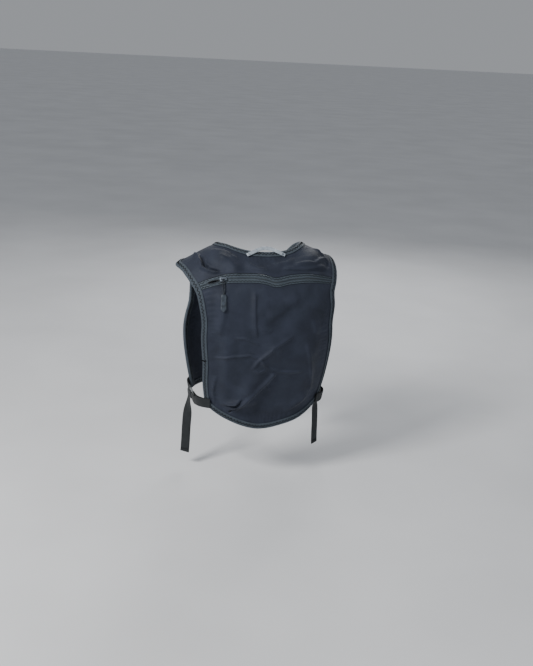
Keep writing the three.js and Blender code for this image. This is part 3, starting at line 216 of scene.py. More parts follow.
# Sharp creases that only the look has. Each row has a width, a height, the side that it leans to,
# and the places that it runs through, as reach and share of the back's length. Tucks have negative
# heights.
CREASE_WIDTH = 2.2
CREASE_HEIGHT = 3.0
CREASE_SOFT_SIDE = 1.8
CREASE_END = 16  # over which a crease dies away
CREASE_MEETING = 3  # the more, the less two creases add up where they meet
CREASES = [
    # the left shoulder's jagged pleat, with its side folds
    (1.0, 2.3, 1, [(-0.66, 0.02), (-0.63, -0.05), (-0.62, -0.13),
                   (-0.62, -0.18), (-0.59, -0.2), (-0.47, -0.26)]),
    (0.8, -1.9, 1, [(-0.62, -0.05), (-0.6, -0.12), (-0.595, -0.17), (-0.57, -0.2), (-0.46, -0.25)]),
    (0.8, 0.9, -1, [(-0.6, -0.1), (-0.58, -0.165), (-0.54, -0.19)]),
    (2.2, 0.9, 1, [(-0.51, -0.05), (-0.4, -0.12), (-0.28, -0.19)]),
    # across the yoke to the right armhole
    (2.4, 1.2, 1, [(-0.23, -0.2), (-0.11, -0.24), (0.01, -0.27)]),
    (1.2, 1.2, -1, [(0.65, -0.08), (0.47, -0.2), (0.25, -0.22)]),
    (1.2, 1.1, 1, [(0.61, -0.19), (0.39, -0.25), (0.14, -0.24)]),
    (1.0, -0.8, 1, [(0.61, -0.22), (0.47, -0.25), (0.34, -0.26)]),
    (1.1, 1.2, 1, [(0.5, -0.03), (0.57, -0.08), (0.64, -0.09)]),
    (1.0, -0.9, 1, [(0.65, -0.12), (0.62, -0.2)]),
    (1.6, 0.8, -1, [(0.28, -0.17), (0.19, -0.2), (0.05, -0.22)]),
    # below the zip
    (1.3, 1.0, 1, [(-0.16, -0.35), (-0.18, -0.43), (-0.18, -0.5), (-0.15, -0.56)]),
    (3.0, 1.2, 1, [(-0.47, -0.35), (-0.54, -0.46), (-0.6, -0.56)]),
    (3.4, 1.3, -1, [(-0.04, -0.47), (0.14, -0.43), (0.34, -0.37)]),
    (2.4, 1.0, -1, [(0.38, -0.41), (0.53, -0.48), (0.63, -0.57)]),
    (0.9, 0.5, 1, [(-0.15, -0.5), (-0.02, -0.52), (0.05, -0.51)]),
    # the crossing in the middle
    (0.9, 0.7, 1, [(-0.43, -0.56), (-0.29, -0.56), (-0.18, -0.58), (-0.1, -0.6)]),
    (0.9, 0.9, 1, [(-0.67, -0.69), (-0.45, -0.67), (-0.23, -0.66), (-0.11, -0.68)]),
    (1.1, 1.2, -1, [(0.06, -0.6), (-0.04, -0.65), (-0.13, -0.69), (-0.22, -0.75)]),
    (1.0, 0.8, 1, [(0.29, -0.55), (0.14, -0.59), (-0.02, -0.62)]),
    (0.9, 1.1, 1, [(-0.14, -0.67), (-0.01, -0.73), (0.09, -0.775)]),
    (0.8, 0.7, 1, [(-0.2, -0.74), (-0.12, -0.76), (0.0, -0.74)]),
    (1.0, 1.0, 1, [(-0.01, -0.73), (0.16, -0.765), (0.33, -0.773), (0.48, -0.77)]),
    (1.6, 1.1, -1, [(0.46, -0.6), (0.55, -0.72), (0.63, -0.83), (0.67, -0.93)]),
    (1.0, 0.8, 1, [(0.09, -0.79), (0.01, -0.85), (0.08, -0.9)]),
    # down to the lower left, with its tucks
    (1.5, 1.9, 1, [(0.12, -0.765), (-0.01, -0.84), (-0.2, -0.92), (-0.39, -0.99), (-0.5, -1.04)]),
    (0.9, -1.9, 1, [(-0.3, -0.93), (-0.36, -0.96), (-0.41, -0.98), (-0.58, -0.99)]),
    (1.1, 1.9, -1, [(-0.35, -0.94), (-0.45, -0.965), (-0.6, -0.975)]),
    (0.8, -1.7, 1, [(-0.34, -0.975), (-0.46, -1.02), (-0.55, -1.05)]),
    (1.6, 1.1, 1, [(-0.65, -0.8), (-0.72, -0.91), (-0.72, -1.0)]),
    (1.1, 0.9, 1, [(-0.7, -1.0), (-0.62, -1.03)]),
    (2.0, 0.8, 1, [(0.65, -0.93), (0.53, -0.99), (0.3, -1.04)]),
]

# Zigzag seams. SEAM_PLACE is their share of the tape's width, from the folded edge
SEAM_PLACE = 0.52
STITCH_PITCH = 3.3
STITCH_REACH = 2.2
STITCH_RADIUS = 0.65
TAPE_TACK_PLACE = 0.71  # share of the back's length down the left armhole's tape

# How finely the cloth is meshed, and its small ripples beside the bound edges
CLOTH_STEP = 1.25
LINER_COARSENESS = 3
PUCKER_HEIGHT = 0.5
PUCKER_LENGTH = 8.5
PUCKER_DEPTH = 13
RIPPLE_HEIGHT = 0.3
CREASE_MARGIN = 7  # over which the creases grow from a bound edge
SHARP_ANGLE = math.radians(55)  # edges that turn more than this are shaded sharp
MITRE_REACH = 34  # over which a tape's end is drawn to its mitre
STITCH_SINK = 0.12  # of a seam's threads into the tape
ZIP_SEAM_LEVELS = (0.17, 0.83)
ZIP_STITCH_REACH = 1.3
ZIP_STITCH_RADIUS = 0.55
STRAP_STEP = 1.6
TACK_RADIUS = 0.28


def mix(a, b, share):
    """A value between two, at a share of the way."""
    return a + (b - a) * share


def smooth(share):
    """A share from 0 to 1 that starts and ends level."""
    s = np.clip(share, 0, 1)
    return s * s * (3 - 2 * s)


def read(table, key, column, at):
    """A column of a table at values of its key column, smooth through the rows."""
    x = np.array(table[key], float)
    y = np.array(table[column], float)
    before = np.maximum(np.arange(len(x)) - 1, 0)
    after = np.minimum(np.arange(len(x)) + 1, len(x) - 1)
    slope = (y[after] - y[before]) / (x[after] - x[before])
    i = np.clip(np.searchsorted(x, at) - 1, 0, len(x) - 2)
    span = x[i + 1] - x[i]
    t = np.clip((at - x[i]) / span, 0, 1)
    lean = t * (1 - t) * span * ((1 - t) * slope[i] - t * slope[i + 1])
    return mix(y[i], y[i + 1], t * t * (3 - 2 * t)) + lean


def body_section(length):
    """Sizes of the body form at lengths of cloth below the shoulder line."""
    angle = np.maximum(0, 1 - length / SHOULDER_ARC) * math.pi / 2
    up = np.sin(angle)
    fall = np.maximum(0, length - SHOULDER_ARC)
    low = smooth(fall / BLADE_TO_WAIST)
    upper = mix(CHEST_HALF_WIDTH, SHOULDER_HALF_WIDTH, smooth(up))
    return {
        "up": up,
        "out": np.cos(angle),
        "fall": fall,
        "half": mix(upper, WAIST_HALF_WIDTH, low),
        "back": mix(CHEST_BACK_DEPTH, WAIST_BACK_DEPTH, low),
        "front": mix(CHEST_FRONT_DEPTH, WAIST_FRONT_DEPTH, low),
    }


def half_width(drop):
    """Half the body form's width at drops."""
    return body_section(np.abs(drop))["half"]


def shoulder_height(x):
    """Height of the shoulder line at a distance from the middle."""
    t = np.maximum(0, (np.abs(x) / SHOULDER_HALF_WIDTH - NECK_REACH) / (TIP_REACH - NECK_REACH))
    return NECK_RISE - SHOULDER_FALL * (1 + FALL_SOFTNESS) * t * t / (t + FALL_SOFTNESS)


def body_point(reach, drop):
    """Points of the body form at reaches from -1 to 1 and lengths of cloth from the shoulder line."""
    reach, drop = np.broadcast_arrays(np.asarray(reach, float), np.asarray(drop, float))
    s = body_section(np.abs(drop))
    q = np.clip(reach, -0.995, 0.995)
    x = q * s["half"]
    z = -BLADE_DROP + (shoulder_height(x) + BLADE_DROP) * s["up"] - s["fall"]
    roundness = (1 - np.abs(q) ** SECTION_POWER) ** (1 / SECTION_POWER)
    y = np.where(drop < 0, -s["back"], s["front"]) * roundness * s["out"]
    return np.stack([x, y, z], axis=-1)


def unit(vectors):
    """Vectors of length one."""
    return vectors / np.maximum(np.linalg.norm(vectors, axis=-1, keepdims=True), 1e-9)


def body_frame(reach, drop):
    """The normal of the body form and its change over reach and over drop."""
    reach_step = 0.002
    drop_step = 0.4
    across = body_point(reach + reach_step, drop) - body_point(reach - reach_step, drop)
    down = body_point(reach, drop + drop_step) - body_point(reach, drop - drop_step)
    over_reach = across / (2 * reach_step)
    over_drop = down / (2 * drop_step)
    return unit(np.cross(over_reach, over_drop)), over_reach, over_drop


def lifted(reach, drop, lift):
    """Points at a height above the body form."""
    normal, _, _ = body_frame(reach, drop)
    return body_point(reach, drop) + normal * np.asarray(lift)[..., None]


def slid(reach, drop, direction, distance):
    """Places that lie a distance away along a direction in the cloth."""
    _, over_reach, over_drop = body_frame(reach, drop)
    rr = np.sum(over_reach * over_reach, axis=-1)
    dd = np.sum(over_drop * over_drop, axis=-1)
    rd = np.sum(over_reach * over_drop, axis=-1)
    along_reach = np.sum(over_reach * direction, axis=-1) * distance
    along_drop = np.sum(over_drop * direction, axis=-1) * distance
    area = rr * dd - rd * rd
    return (
        reach + (along_reach * dd - along_drop * rd) / area,
        drop + (along_drop * rr - along_reach * rd) / area,
    )


def reach_length(reach, drop):
    """Millimetres along the cloth for a reach of one."""
    _, over_reach, _ = body_frame(reach, drop)
    return np.linalg.norm(over_reach, axis=-1)


def armhole_reach(side, drop):
    """Reach of one side's armhole edge at drops."""
    share = np.where(drop < 0, drop / BACK_LENGTH, drop / FRONT_LENGTH)
    return side * read(ARMHOLE, "drop", "reach", share) + read(ARMHOLE, "drop", "skew", share)


def neck_place(side, place):
    """Reach and drop of one side's neck edge at places from the back's middle to the front's corner."""
    reach = side * read(NECK, "place", "reach", place) + read(NECK, "place", "skew", place)
    share = read(NECK, "place", "drop", place)
    return reach, np.where(share < 0, share * BACK_LENGTH, share * FRONT_LENGTH)


def neck_at(drop):
    """Where along the neck edge drops are reached."""
    places = np.linspace(0, 1, 400)
    _, drops = neck_place(1, places)
    return np.interp(drop, drops, places)


def across_place(across, drop):
    """Reach and drop at shares of the way from the left armhole to the right one."""
    return mix(armhole_reach(-1, drop), armhole_reach(1, drop), across), drop


def hem_drop(across):
    """Drop of the back's lower edge."""
    return -BACK_LENGTH - HEM_DIP * read(HEM, "across", "dip", across)


def zip_drop(across, level):
    """Drop of the zip's band at a level from 0, its lower edge, to 1."""
    return -ZIP_DROP + ZIP_WIDTH * (read(ZIP_LINE, "across", "rise", across) + level - 0.5)


def zip_share(distance):
    """The share of the way between the armholes that a distance along the zip is."""
    left, _ = across_place(0.0, zip_drop(0.0, 0.5))
    right, _ = across_place(1.0, zip_drop(1.0, 0.5))
    return distance / ((right - left) * half_width(ZIP_DROP))


def edge_distances(reach, drop):
    """Distances along the cloth to the armholes and the hem, and to the neck and the shoulder seam."""
    half = half_width(drop)
    to_left = (reach - armhole_reach(-1, drop)) * half
    to_right = (armhole_reach(1, drop) - reach) * half
    to_hem = drop - hem_drop(to_left / (to_left + to_right))
    to_neck = np.full(np.shape(reach), 1e3)
    for place in np.linspace(0, 0.5, 41):
        for side in (-1, 1):
            neck_reach, neck_drop = neck_place(side, place)
            to_neck = np.minimum(to_neck, np.hypot((neck_reach - reach) * half, neck_drop - drop))
    return to_left, to_right, to_hem, to_neck


def soft_folds(reach, drop):
    """Height that the soft folds add."""
    half = half_width(drop)
    total = np.zeros(np.shape(reach))
    for from_reach, from_drop, to_reach, to_drop, wide, high in FOLDS:
        start_x = from_reach * half
        run_x = to_reach * half - start_x
        run_d = (to_drop - from_drop) * BACK_LENGTH
        x = reach * half - start_x
        d = drop - from_drop * BACK_LENGTH
        t = np.clip((x * run_x + d * run_d) / (run_x**2 + run_d**2), 0, 1)
        away = np.hypot(x - run_x * t, d - run_d * t) / (wide * FOLD_WIDTH)
        total = total + high * FOLD_HEIGHT * np.exp(-away * away)
    return total


def creases(reach, drop):
    """Height that the creases add. Each is steep on one side, soft on the other, and fades at its ends."""
    x = reach * half_width(drop)
    raised_sum = np.zeros(np.shape(x))
    sunk_sum = np.zeros(np.shape(x))
    for wide, high, lean, places in CREASES:
        path_drop = np.array([place[1] for place in places]) * BACK_LENGTH
        path_x = np.array([place[0] for place in places]) * half_width(path_drop)
        runs = np.hypot(np.diff(path_x), np.diff(path_drop))
        starts = np.concatenate([[0], np.cumsum(runs)])
        nearest = np.full(np.shape(x), 1e3)
        side = np.zeros(np.shape(x))
        gone = np.zeros(np.shape(x))
        for i, run in enumerate(runs):
            run_x = (path_x[i + 1] - path_x[i]) / run
            run_d = (path_drop[i + 1] - path_drop[i]) / run
            t = np.clip((x - path_x[i]) * run_x + (drop - path_drop[i]) * run_d, 0, run)
            off_x = x - path_x[i] - run_x * t
            off_d = drop - path_drop[i] - run_d * t
            away = np.hypot(off_x, off_d)
            closer = away < nearest
            nearest = np.where(closer, away, nearest)
            side = np.where(closer, np.sign(off_x * run_d - off_d * run_x), side)
            gone = np.where(closer, starts[i] + t, gone)
        soft_side = np.where(side * lean > 0, CREASE_SOFT_SIDE, 1.0)
        fade = smooth(gone / CREASE_END + 0.2) * smooth((starts[-1] - gone) / CREASE_END + 0.15)
        spread = wide * CREASE_WIDTH * soft_side
        height = abs(high) * CREASE_HEIGHT * fade * np.exp(-(nearest / spread) ** 2)
        if high > 0:
            raised_sum = raised_sum + height**CREASE_MEETING
        else:
            sunk_sum = sunk_sum + height**CREASE_MEETING
    return raised_sum ** (1 / CREASE_MEETING) - sunk_sum ** (1 / CREASE_MEETING)


def ripples(reach, drop):
    """Small uneven waves that all thin cloth has."""
    x = reach * half_width(drop)
    waves = np.sin(x * 0.11 + 1.7 * np.sin(drop * 0.031 + 0.6))
    waves = waves * np.sin(drop * 0.087 + 1.3 * np.sin(x * 0.043))
    fine = np.sin(x * 0.23 - drop * 0.19 + 2.1 * np.sin(drop * 0.05))
    fine = fine * np.sin(drop * 0.15 + x * 0.06 + 0.8)
    return RIPPLE_HEIGHT * (waves + 0.5 * fine)


def puckers(along, distance):
    """Gathers beside a stitched edge, which die away into the cloth."""
    wave = np.sin(2 * math.pi * along / PUCKER_LENGTH + 1.9 * np.sin(along * 0.071))
    strength = 0.6 + 0.4 * np.sin(along * 0.037 + 0.5)
    return PUCKER_HEIGHT * strength * wave * np.exp(-np.maximum(distance, 0) / PUCKER_DEPTH)


def back_drape(reach, drop):
    """Lift of the back's outer cloth above where it lies at its edges."""
    to_left, to_right, to_hem, to_neck = edge_distances(reach, drop)
    nearest = np.minimum.reduce([to_left, to_right, to_hem, to_neck, SEAM_DROP - drop + EDGE_BAND])
    calm = smooth((nearest - EDGE_BAND - CALM_MARGIN) / CALM_WIDTH)
    pocket_length = BACK_LENGTH - ZIP_DROP
    away = ((drop + ZIP_DROP) / pocket_length + FULLEST_PLACE) / FULLNESS_SPREAD
    fullness = PANEL_FULLNESS * np.exp(-away * away) * (1 - reach**2)
    soft = calm * (fullness + soft_folds(reach, drop))
    to_zip = np.abs(drop - zip_drop(to_left / (to_left + to_right), 0.5)) - ZIP_WIDTH / 2
    margin = np.minimum(nearest - BINDING_WIDTH, to_zip - 2)
    sharp = smooth(margin / CREASE_MARGIN) * (creases(reach, drop) + ripples(reach, drop))
    free = smooth(np.minimum(nearest - BINDING_WIDTH, to_zip - 1) / 5)
    x = reach * half_width(drop)
    sides = puckers(drop, to_left - BINDING_WIDTH) + puckers(drop + 40, to_right - BINDING_WIDTH)
    ends = puckers(x, to_hem - BINDING_WIDTH) + 0.6 * puckers(x + 30, to_neck - BINDING_WIDTH)
    return soft + sharp + free * (sides + ends)


# Meshes

def make_object(name, points, faces, uvs=None):
    """An object from points in millimetres and faces. uvs holds one pair for each point."""
    mesh = bpy.data.meshes.new(name)
    mesh.from_pydata((np.asarray(points) / 1000).tolist(), [], [list(map(int, face)) for face in faces])
    if uvs is not None:
        layer = mesh.uv_layers.new(name="cloth")
        corner_points = np.empty(len(mesh.loops), dtype=np.int32)
        mesh.loops.foreach_get("vertex_index", corner_points)
        layer.data.foreach_set("uv", (np.asarray(uvs)[corner_points] / 1000).ravel())
    mesh.validate()
    mesh.polygons.foreach_set("use_smooth", [True] * len(mesh.polygons))
    mesh.set_sharp_from_angle(angle=SHARP_ANGLE)
    obj = bpy.data.objects.new(name, mesh)
    bpy.context.scene.collection.objects.link(obj)
    return obj


def grid_faces(rows, columns, start=0, flip=False):
    """Four-sided faces over a grid of points."""
    i, j = np.meshgrid(np.arange(rows - 1), np.arange(columns - 1), indexing="ij")
    a = (i * columns + j).ravel() + start
    corners = [a, a + 1, a + columns + 1, a + columns]
    return np.stack(corners[::-1] if flip else corners, axis=1)


def wall(outer, inner, flip=False):
    """Points, faces and cloth coordinates of a wall between two grids of points."""
    rows, columns = outer.shape[:2]
    count = rows * columns
    faces = [grid_faces(rows, columns, 0, flip), grid_faces(rows, columns, count, not flip)]
    rim = np.concatenate([
        np.arange(columns - 1),
        np.arange(rows - 1) * columns + columns - 1,
        (rows - 1) * columns + np.arange(columns - 1, 0, -1),
        np.arange(rows - 1, 0, -1) * columns,
    ])
    following = np.roll(rim, -1)
    band = np.stack([following, rim, rim + count, following + count], axis=1)
    faces.append(band[:, ::-1] if flip else band)
    run_u = np.linalg.norm(np.diff(outer, axis=1), axis=2)
    run_v = np.linalg.norm(np.diff(outer, axis=0), axis=2)
    u = np.concatenate([np.zeros((rows, 1)), np.cumsum(run_u, axis=1)], axis=1)
    v = np.concatenate([np.zeros((1, columns)), np.cumsum(run_v, axis=0)], axis=0)
    u = u - u[:, columns // 2][:, None]
    uvs = np.stack([u.ravel(), v.ravel()], axis=1)
    points = np.concatenate([outer.reshape(-1, 3), inner.reshape(-1, 3)])
    return points, np.concatenate(faces), np.concatenate([uvs, uvs])


def cloth(name, reach, drop, low, high, material, nodes, flip=False):
    """A wall of cloth over a grid of places between two heights."""
    outer = lifted(reach, drop, np.broadcast_to(high, reach.shape))
    inner = lifted(reach, drop, np.broadcast_to(low, reach.shape))
    obj = make_object(name, *wall(outer, inner, flip))
    return finished(obj, material, nodes)


def finished(obj, material, nodes=()):
    """An object with its material that rides on the part and stands for some nodes."""
    obj.data.materials.append(material)
    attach(obj, "root")
    if nodes:
        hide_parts(*nodes)
    return obj


def sweep(sections, closed_ends=True):
    """Points and faces through sections, each a closed loop of the same number of points."""
    sections = np.asarray(sections)
    steps, count = sections.shape[:2]
    k, m = np.meshgrid(np.arange(steps - 1), np.arange(count), indexing="ij")
    here = k * count + m
    side = k * count + (m + 1) % count
    faces = np.stack([here, side, side + count, here + count], axis=-1).reshape(-1, 4).tolist()
    if closed_ends:
        faces.append(list(range(count))[::-1])
        faces.append([(steps - 1) * count + n for n in range(count)])
    return sections.reshape(-1, 3), faces


def tube(points, radius, sides=6):
    """A round thread or cord along points."""
    points = np.asarray(points, float)
    run = unit(np.gradient(points, axis=0))
    upright = np.abs(run[:, 2:3]) > 0.9
    helper = np.where(upright, np.array([[1.0, 0, 0]]), np.array([[0, 0, 1.0]]))
    first = unit(np.cross(run, helper))
    second = np.cross(run, first)
    angles = np.arange(sides) * 2 * math.pi / sides
    ring = np.cos(angles)[None, :, None] * first[:, None]
    ring = ring + np.sin(angles)[None, :, None] * second[:, None]
    radii = np.broadcast_to(radius, (len(points),))[:, None, None]
    return sweep(points[:, None] + ring * radii)


def joined(parts):
    """Several sets of points and faces as one."""
    points, faces, count = [], [], 0
    for part_points, part_faces in parts:
        points.append(np.asarray(part_points))
        faces += [[int(i) + count for i in face] for face in part_faces]
        count += len(part_points)
    return np.concatenate(points), faces


# Materials

def rgb(red, green, blue):
    """A colour of a screen as the shader's linear colour."""
    shares = [value / 255 for value in (red, green, blue)]
    return (*[s / 12.92 if s <= 0.04045 else ((s + 0.055) / 1.055) ** 2.4 for s in shares], 1)


class Shader:
    """A material with a few helpers for its nodes."""

    def __init__(self, name, roughness, metallic=0.0, sheen=0.0, gloss=0.5):
        self.material = bpy.data.materials.new(name)
        self.material.use_nodes = True
        self.nodes = self.material.node_tree.nodes
        self.links = self.material.node_tree.links
        self.surface = self.nodes["Principled BSDF"]
        self.surface.inputs["Roughness"].default_value = roughness
        self.surface.inputs["Metallic"].default_value = metallic
        self.surface.inputs["Sheen Weight"].default_value = sheen
        self.surface.inputs["Specular IOR Level"].default_value = gloss
        self.height = None

    def add(self, kind, **settings):
        node = self.nodes.new(kind)
        for key, value in settings.items():
            setattr(node, key, value)
        return node

    def coordinates(self, scale, turn=0.0, source="UV"):
        """Cloth coordinates in metres, scaled and turned."""
        origin = self.add("ShaderNodeTexCoord")
        mapping = self.add("ShaderNodeMapping")
        mapping.inputs["Scale"].default_value = scale
        mapping.inputs["Rotation"].default_value = (0, 0, turn)
        self.links.new(origin.outputs[source], mapping.inputs["Vector"])
        return mapping.outputs["Vector"]

    def noise(self, scale, detail=3.0, source="Object"):
        node = self.add("ShaderNodeTexNoise")
        node.inputs["Scale"].default_value = scale
        node.inputs["Detail"].default_value = detail
        self.links.new(self.coordinates((1, 1, 1), source=source), node.inputs["Vector"])
        return node.outputs["Fac"]

    def ribs(self, pitch, turn=0.0, profile="SIN", wobble=0.0):
        """Even ribs across the cloth's first coordinate, a pitch in millimetres apart."""
        node = self.add("ShaderNodeTexWave", wave_type="BANDS", bands_direction="X", wave_profile=profile)
        node.inputs["Scale"].default_value = 1
        node.inputs["Distortion"].default_value = wobble
        per_metre = 1000 / pitch * 2 * math.pi / 20
        self.links.new(self.coordinates((per_metre,) * 3, turn), node.inputs["Vector"])
        return node.outputs["Fac"]

    def math(self, operation, first, second):
        node = self.add("ShaderNodeMath", operation=operation)
        for socket, value in zip(node.inputs, (first, second)):
            if isinstance(value, (int, float)):
                socket.default_value = value
            else:
                self.links.new(value, socket)
        return node.outputs[0]

    def ramp(self, value, stops):
        node = self.add("ShaderNodeValToRGB")
        elements = node.color_ramp.elements
        while len(elements) < len(stops):
            elements.new(0.5)
        for element, (place, color) in zip(elements, stops):
            element.position = place
            element.color = color
        self.links.new(value, node.inputs["Fac"])
        return node.outputs["Color"]

    def color(self, output):
        self.links.new(output, self.surface.inputs["Base Color"])

    def roughness(self, value, low, high):
        node = self.add("ShaderNodeMapRange")
        node.inputs["To Min"].default_value = low
        node.inputs["To Max"].default_value = high
        self.links.new(value, node.inputs["Value"])
        self.links.new(node.outputs["Result"], self.surface.inputs["Roughness"])

    def bump(self, value, distance, strength=1.0):
        """Adds relief of a depth in millimetres over what is there."""
        node = self.add("ShaderNodeBump")
        node.inputs["Strength"].default_value = strength
        node.inputs["Distance"].default_value = distance / 1000
        self.links.new(value, node.inputs["Height"])
        if self.height is not None:
            self.links.new(self.height, node.inputs["Normal"])
        self.height = node.outputs["Normal"]
        self.links.new(self.height, self.surface.inputs["Normal"])


def woven(name, dark, light, roughness, pitch, depth, sheen):
    """Plain woven cloth: two sets of threads, softly mottled."""
    shader = Shader(name, roughness, sheen=sheen, gloss=0.22)
    threads = shader.math("MULTIPLY", shader.ribs(pitch), shader.ribs(pitch, math.pi / 2))
    mottle = shader.noise(34, 4)
    fine = shader.noise(420, 2)
    mottle_share = shader.math("MULTIPLY", mottle, 0.7)
    blend = shader.math("ADD", mottle_share, shader.math("MULTIPLY", threads, 0.25))
    shader.color(shader.ramp(blend, [(0.2, dark), (0.75, light)]))
    shader.roughness(fine, roughness - 0.1, roughness + 0.1)
    shader.bump(threads, depth)
    shader.bump(fine, 0.15, 0.6)
    shader.bump(mottle, 0.8, 0.5)
    return shader.material


def ribbed(name, dark, light, roughness, pitch, depth, turn=0.0, sheen=0.05):
    """Tape and webbing: ribs along it, crossed by finer threads."""
    shader = Shader(name, roughness, sheen=sheen, gloss=0.25)
    ribs = shader.ribs(pitch, turn, "TRI", 0.15)
    threads = shader.ribs(pitch * 0.6, turn + math.pi / 2)
    crossed = shader.math("ADD", shader.math("MULTIPLY", threads, 0.6), 0.4)
    relief = shader.math("MULTIPLY", ribs, crossed)
    wear = shader.noise(90, 4)
    wear_share = shader.math("MULTIPLY", wear, 0.6)
    blend = shader.math("ADD", wear_share, shader.math("MULTIPLY", relief, 0.45))
    shader.color(shader.ramp(blend, [(0.15, dark), (0.8, light)]))
    shader.roughness(wear, roughness - 0.08, roughness + 0.1)
    shader.bump(relief, depth)
    return shader.material


def moulded(name, dark, light, roughness, metallic=0.0):
    """Moulded plastic or satin metal with a fine grain and handling marks."""
    shader = Shader(name, roughness, metallic)
    marks = shader.noise(160, 5)
    grain = shader.noise(1800, 2)
    shader.color(shader.ramp(marks, [(0.3, dark), (0.7, light)]))
    shader.roughness(marks, roughness - 0.1, roughness + 0.12)
    shader.bump(grain, 0.05, 0.5)
    return shader.material


SHELL = woven("shell_cloth", rgb(31, 36, 47), rgb(52, 58, 73), 0.66, 0.9, 0.05, 0.05)
LINER = woven("liner_mesh", rgb(22, 24, 29), rgb(38, 41, 48), 0.8, 2.2, 0.4, 0.05)
POCKET_MESH = woven("pocket_mesh", rgb(24, 27, 34), rgb(44, 48, 59), 0.7, 2.6, 0.5, 0.05)
TAPE = ribbed("edge_tape", rgb(44, 51, 59), rgb(78, 87, 96), 0.68, 1.1, 0.12)
ZIP_CLOTH = ribbed("zip_band", rgb(50, 58, 66), rgb(84, 94, 103), 0.64, 1.0, 0.12, math.pi / 2)
COIL = moulded("zip_coil", rgb(24, 27, 32), rgb(58, 65, 73), 0.42)
PALE_WEBBING = ribbed("pale_webbing", rgb(118, 130, 142), rgb(206, 214, 222), 0.72, 1.5, 0.3, math.pi / 2)
DARK_WEBBING = ribbed("dark_webbing", rgb(24, 26, 28), rgb(50, 54, 57), 0.72, 1.6, 0.35)
THREAD = ribbed("stitch_thread", rgb(5, 6, 8), rgb(14, 16, 19), 0.8, 0.5, 0.1, sheen=0.0)
PALE_THREAD = ribbed("stitch_thread_pale", rgb(150, 158, 166), rgb(206, 212, 218), 0.6, 0.5, 0.1)
CORD = ribbed("pull_cord", rgb(30, 34, 40), rgb(70, 77, 86), 0.6, 0.8, 0.15, math.pi / 4)
SLIDER_METAL = moulded("slider_metal", rgb(64, 72, 82), rgb(104, 112, 122), 0.42, 0.4)
PULL_PLASTIC = moulded("pull_moulding", rgb(38, 45, 53), rgb(64, 73, 84), 0.46)
HARD_PLASTIC = moulded("hard_plastic", rgb(15, 16, 18), rgb(32, 34, 37), 0.36)
LOCK_PLASTIC = moulded("lock_plastic", rgb(98, 102, 104), rgb(150, 154, 156), 0.34)


# Cloth pieces

def make_back():
    """The back pocket's outer cloth, its edge turned under beside the zip, and the plain liner."""
    columns = int(2 * CHEST_HALF_WIDTH * 0.82 / CLOTH_STEP)
    rows = int((BACK_LENGTH - ZIP_DROP + HEM_DIP) / CLOTH_STEP)
    across = np.linspace(0.008, 0.992, columns)[None, :]
    level = np.linspace(0, 1, rows)[:, None]
    upper = zip_drop(across, 0) - ZIP_GAP
    drop = mix(hem_drop(across) + EDGE_INSET, upper, level)
    reach, _ = across_place(across, drop)
    low = SKIN_GAP + LINER_WALL + LAYER_GAP + back_drape(reach, drop)
    fold_over = 0.7 * np.exp(-((upper - drop) / 2.2) ** 2)
    high = low + PANEL_WALL + fold_over
    panel = cloth("back_panel_cloth", reach, drop, low, high, SHELL, ["back_panel"])
    coarse = np.linspace(0, 1, rows // LINER_COARSENESS)[:, None]
    across = across[:, ::LINER_COARSENESS]
    drop = mix(hem_drop(across) + EDGE_INSET, zip_drop(across, 1), coarse)
    reach, _ = across_place(across, drop)
    low = SKIN_GAP + 0.25 * np.sin(drop * 0.31) * np.sin(reach * 41)
    liner = cloth("back_liner_cloth", reach, drop, low, low + LINER_WALL - 0.2, LINER, ["back_liner"])


def yoke_grid():
    """Places from the neck edge out to the armholes and the zip."""
    seam = SEAM_DROP - PIECE_GAP / 2
    inset = zip_share(EDGE_INSET)
    above = 1 + ZIP_GAP / ZIP_WIDTH
    share = np.linspace(0, 1, 62)
    stretches = []
    for side in (-1, 1):
        corner_across = inset if side < 0 else 1 - inset
        drop = mix(seam, zip_drop(corner_across, above), share)
        edge = armhole_reach(side, drop)
        stretches.append((edge - side * EDGE_INSET / reach_length(edge, drop), drop))
    across = mix(inset, 1 - inset, np.linspace(0, 1, 150)[1:-1])
    below = across_place(across, zip_drop(across, above))
    outer_reach = np.concatenate([stretches[0][0], below[0], stretches[1][0][::-1]])
    outer_drop = np.concatenate([stretches[0][1], below[1], stretches[1][1][::-1]])
    place = np.linspace(-1, 1, len(outer_reach))
    seam_place = float(neck_at(seam))
    left = neck_place(-1, seam_place * np.abs(place))
    right = neck_place(1, seam_place * np.abs(place))
    inner_reach = np.where(place < 0, left[0], right[0])
    inner_drop = np.where(place < 0, left[1], right[1])
    span = body_point(outer_reach, outer_drop) - body_point(inner_reach, inner_drop)
    length = np.linalg.norm(span, axis=1)
    rung = mix(EDGE_INSET / length[:, None], 1.0, np.linspace(0, 1, 64)[None, :])
    reach = mix(inner_reach[:, None], outer_reach[:, None], rung)
    drop = mix(inner_drop[:, None], outer_drop[:, None], rung)
    return reach, drop


def make_yoke():
    """The upper back and shoulders, with a folded lip above the zip."""
    reach, drop = yoke_grid()
    low = SKIN_GAP + back_drape(reach, drop)
    left = armhole_reach(-1, drop)
    across = (reach - left) / (armhole_reach(1, drop) - left)
    above_zip = drop - zip_drop(across, 1)
    lip = 1.1 * np.exp(-((above_zip - 1.5) / 3.2) ** 2)
    yoke = cloth("yoke_cloth", reach, drop, low, low + SHELL_WALL + lip, SHELL, ["yoke"], flip=True)


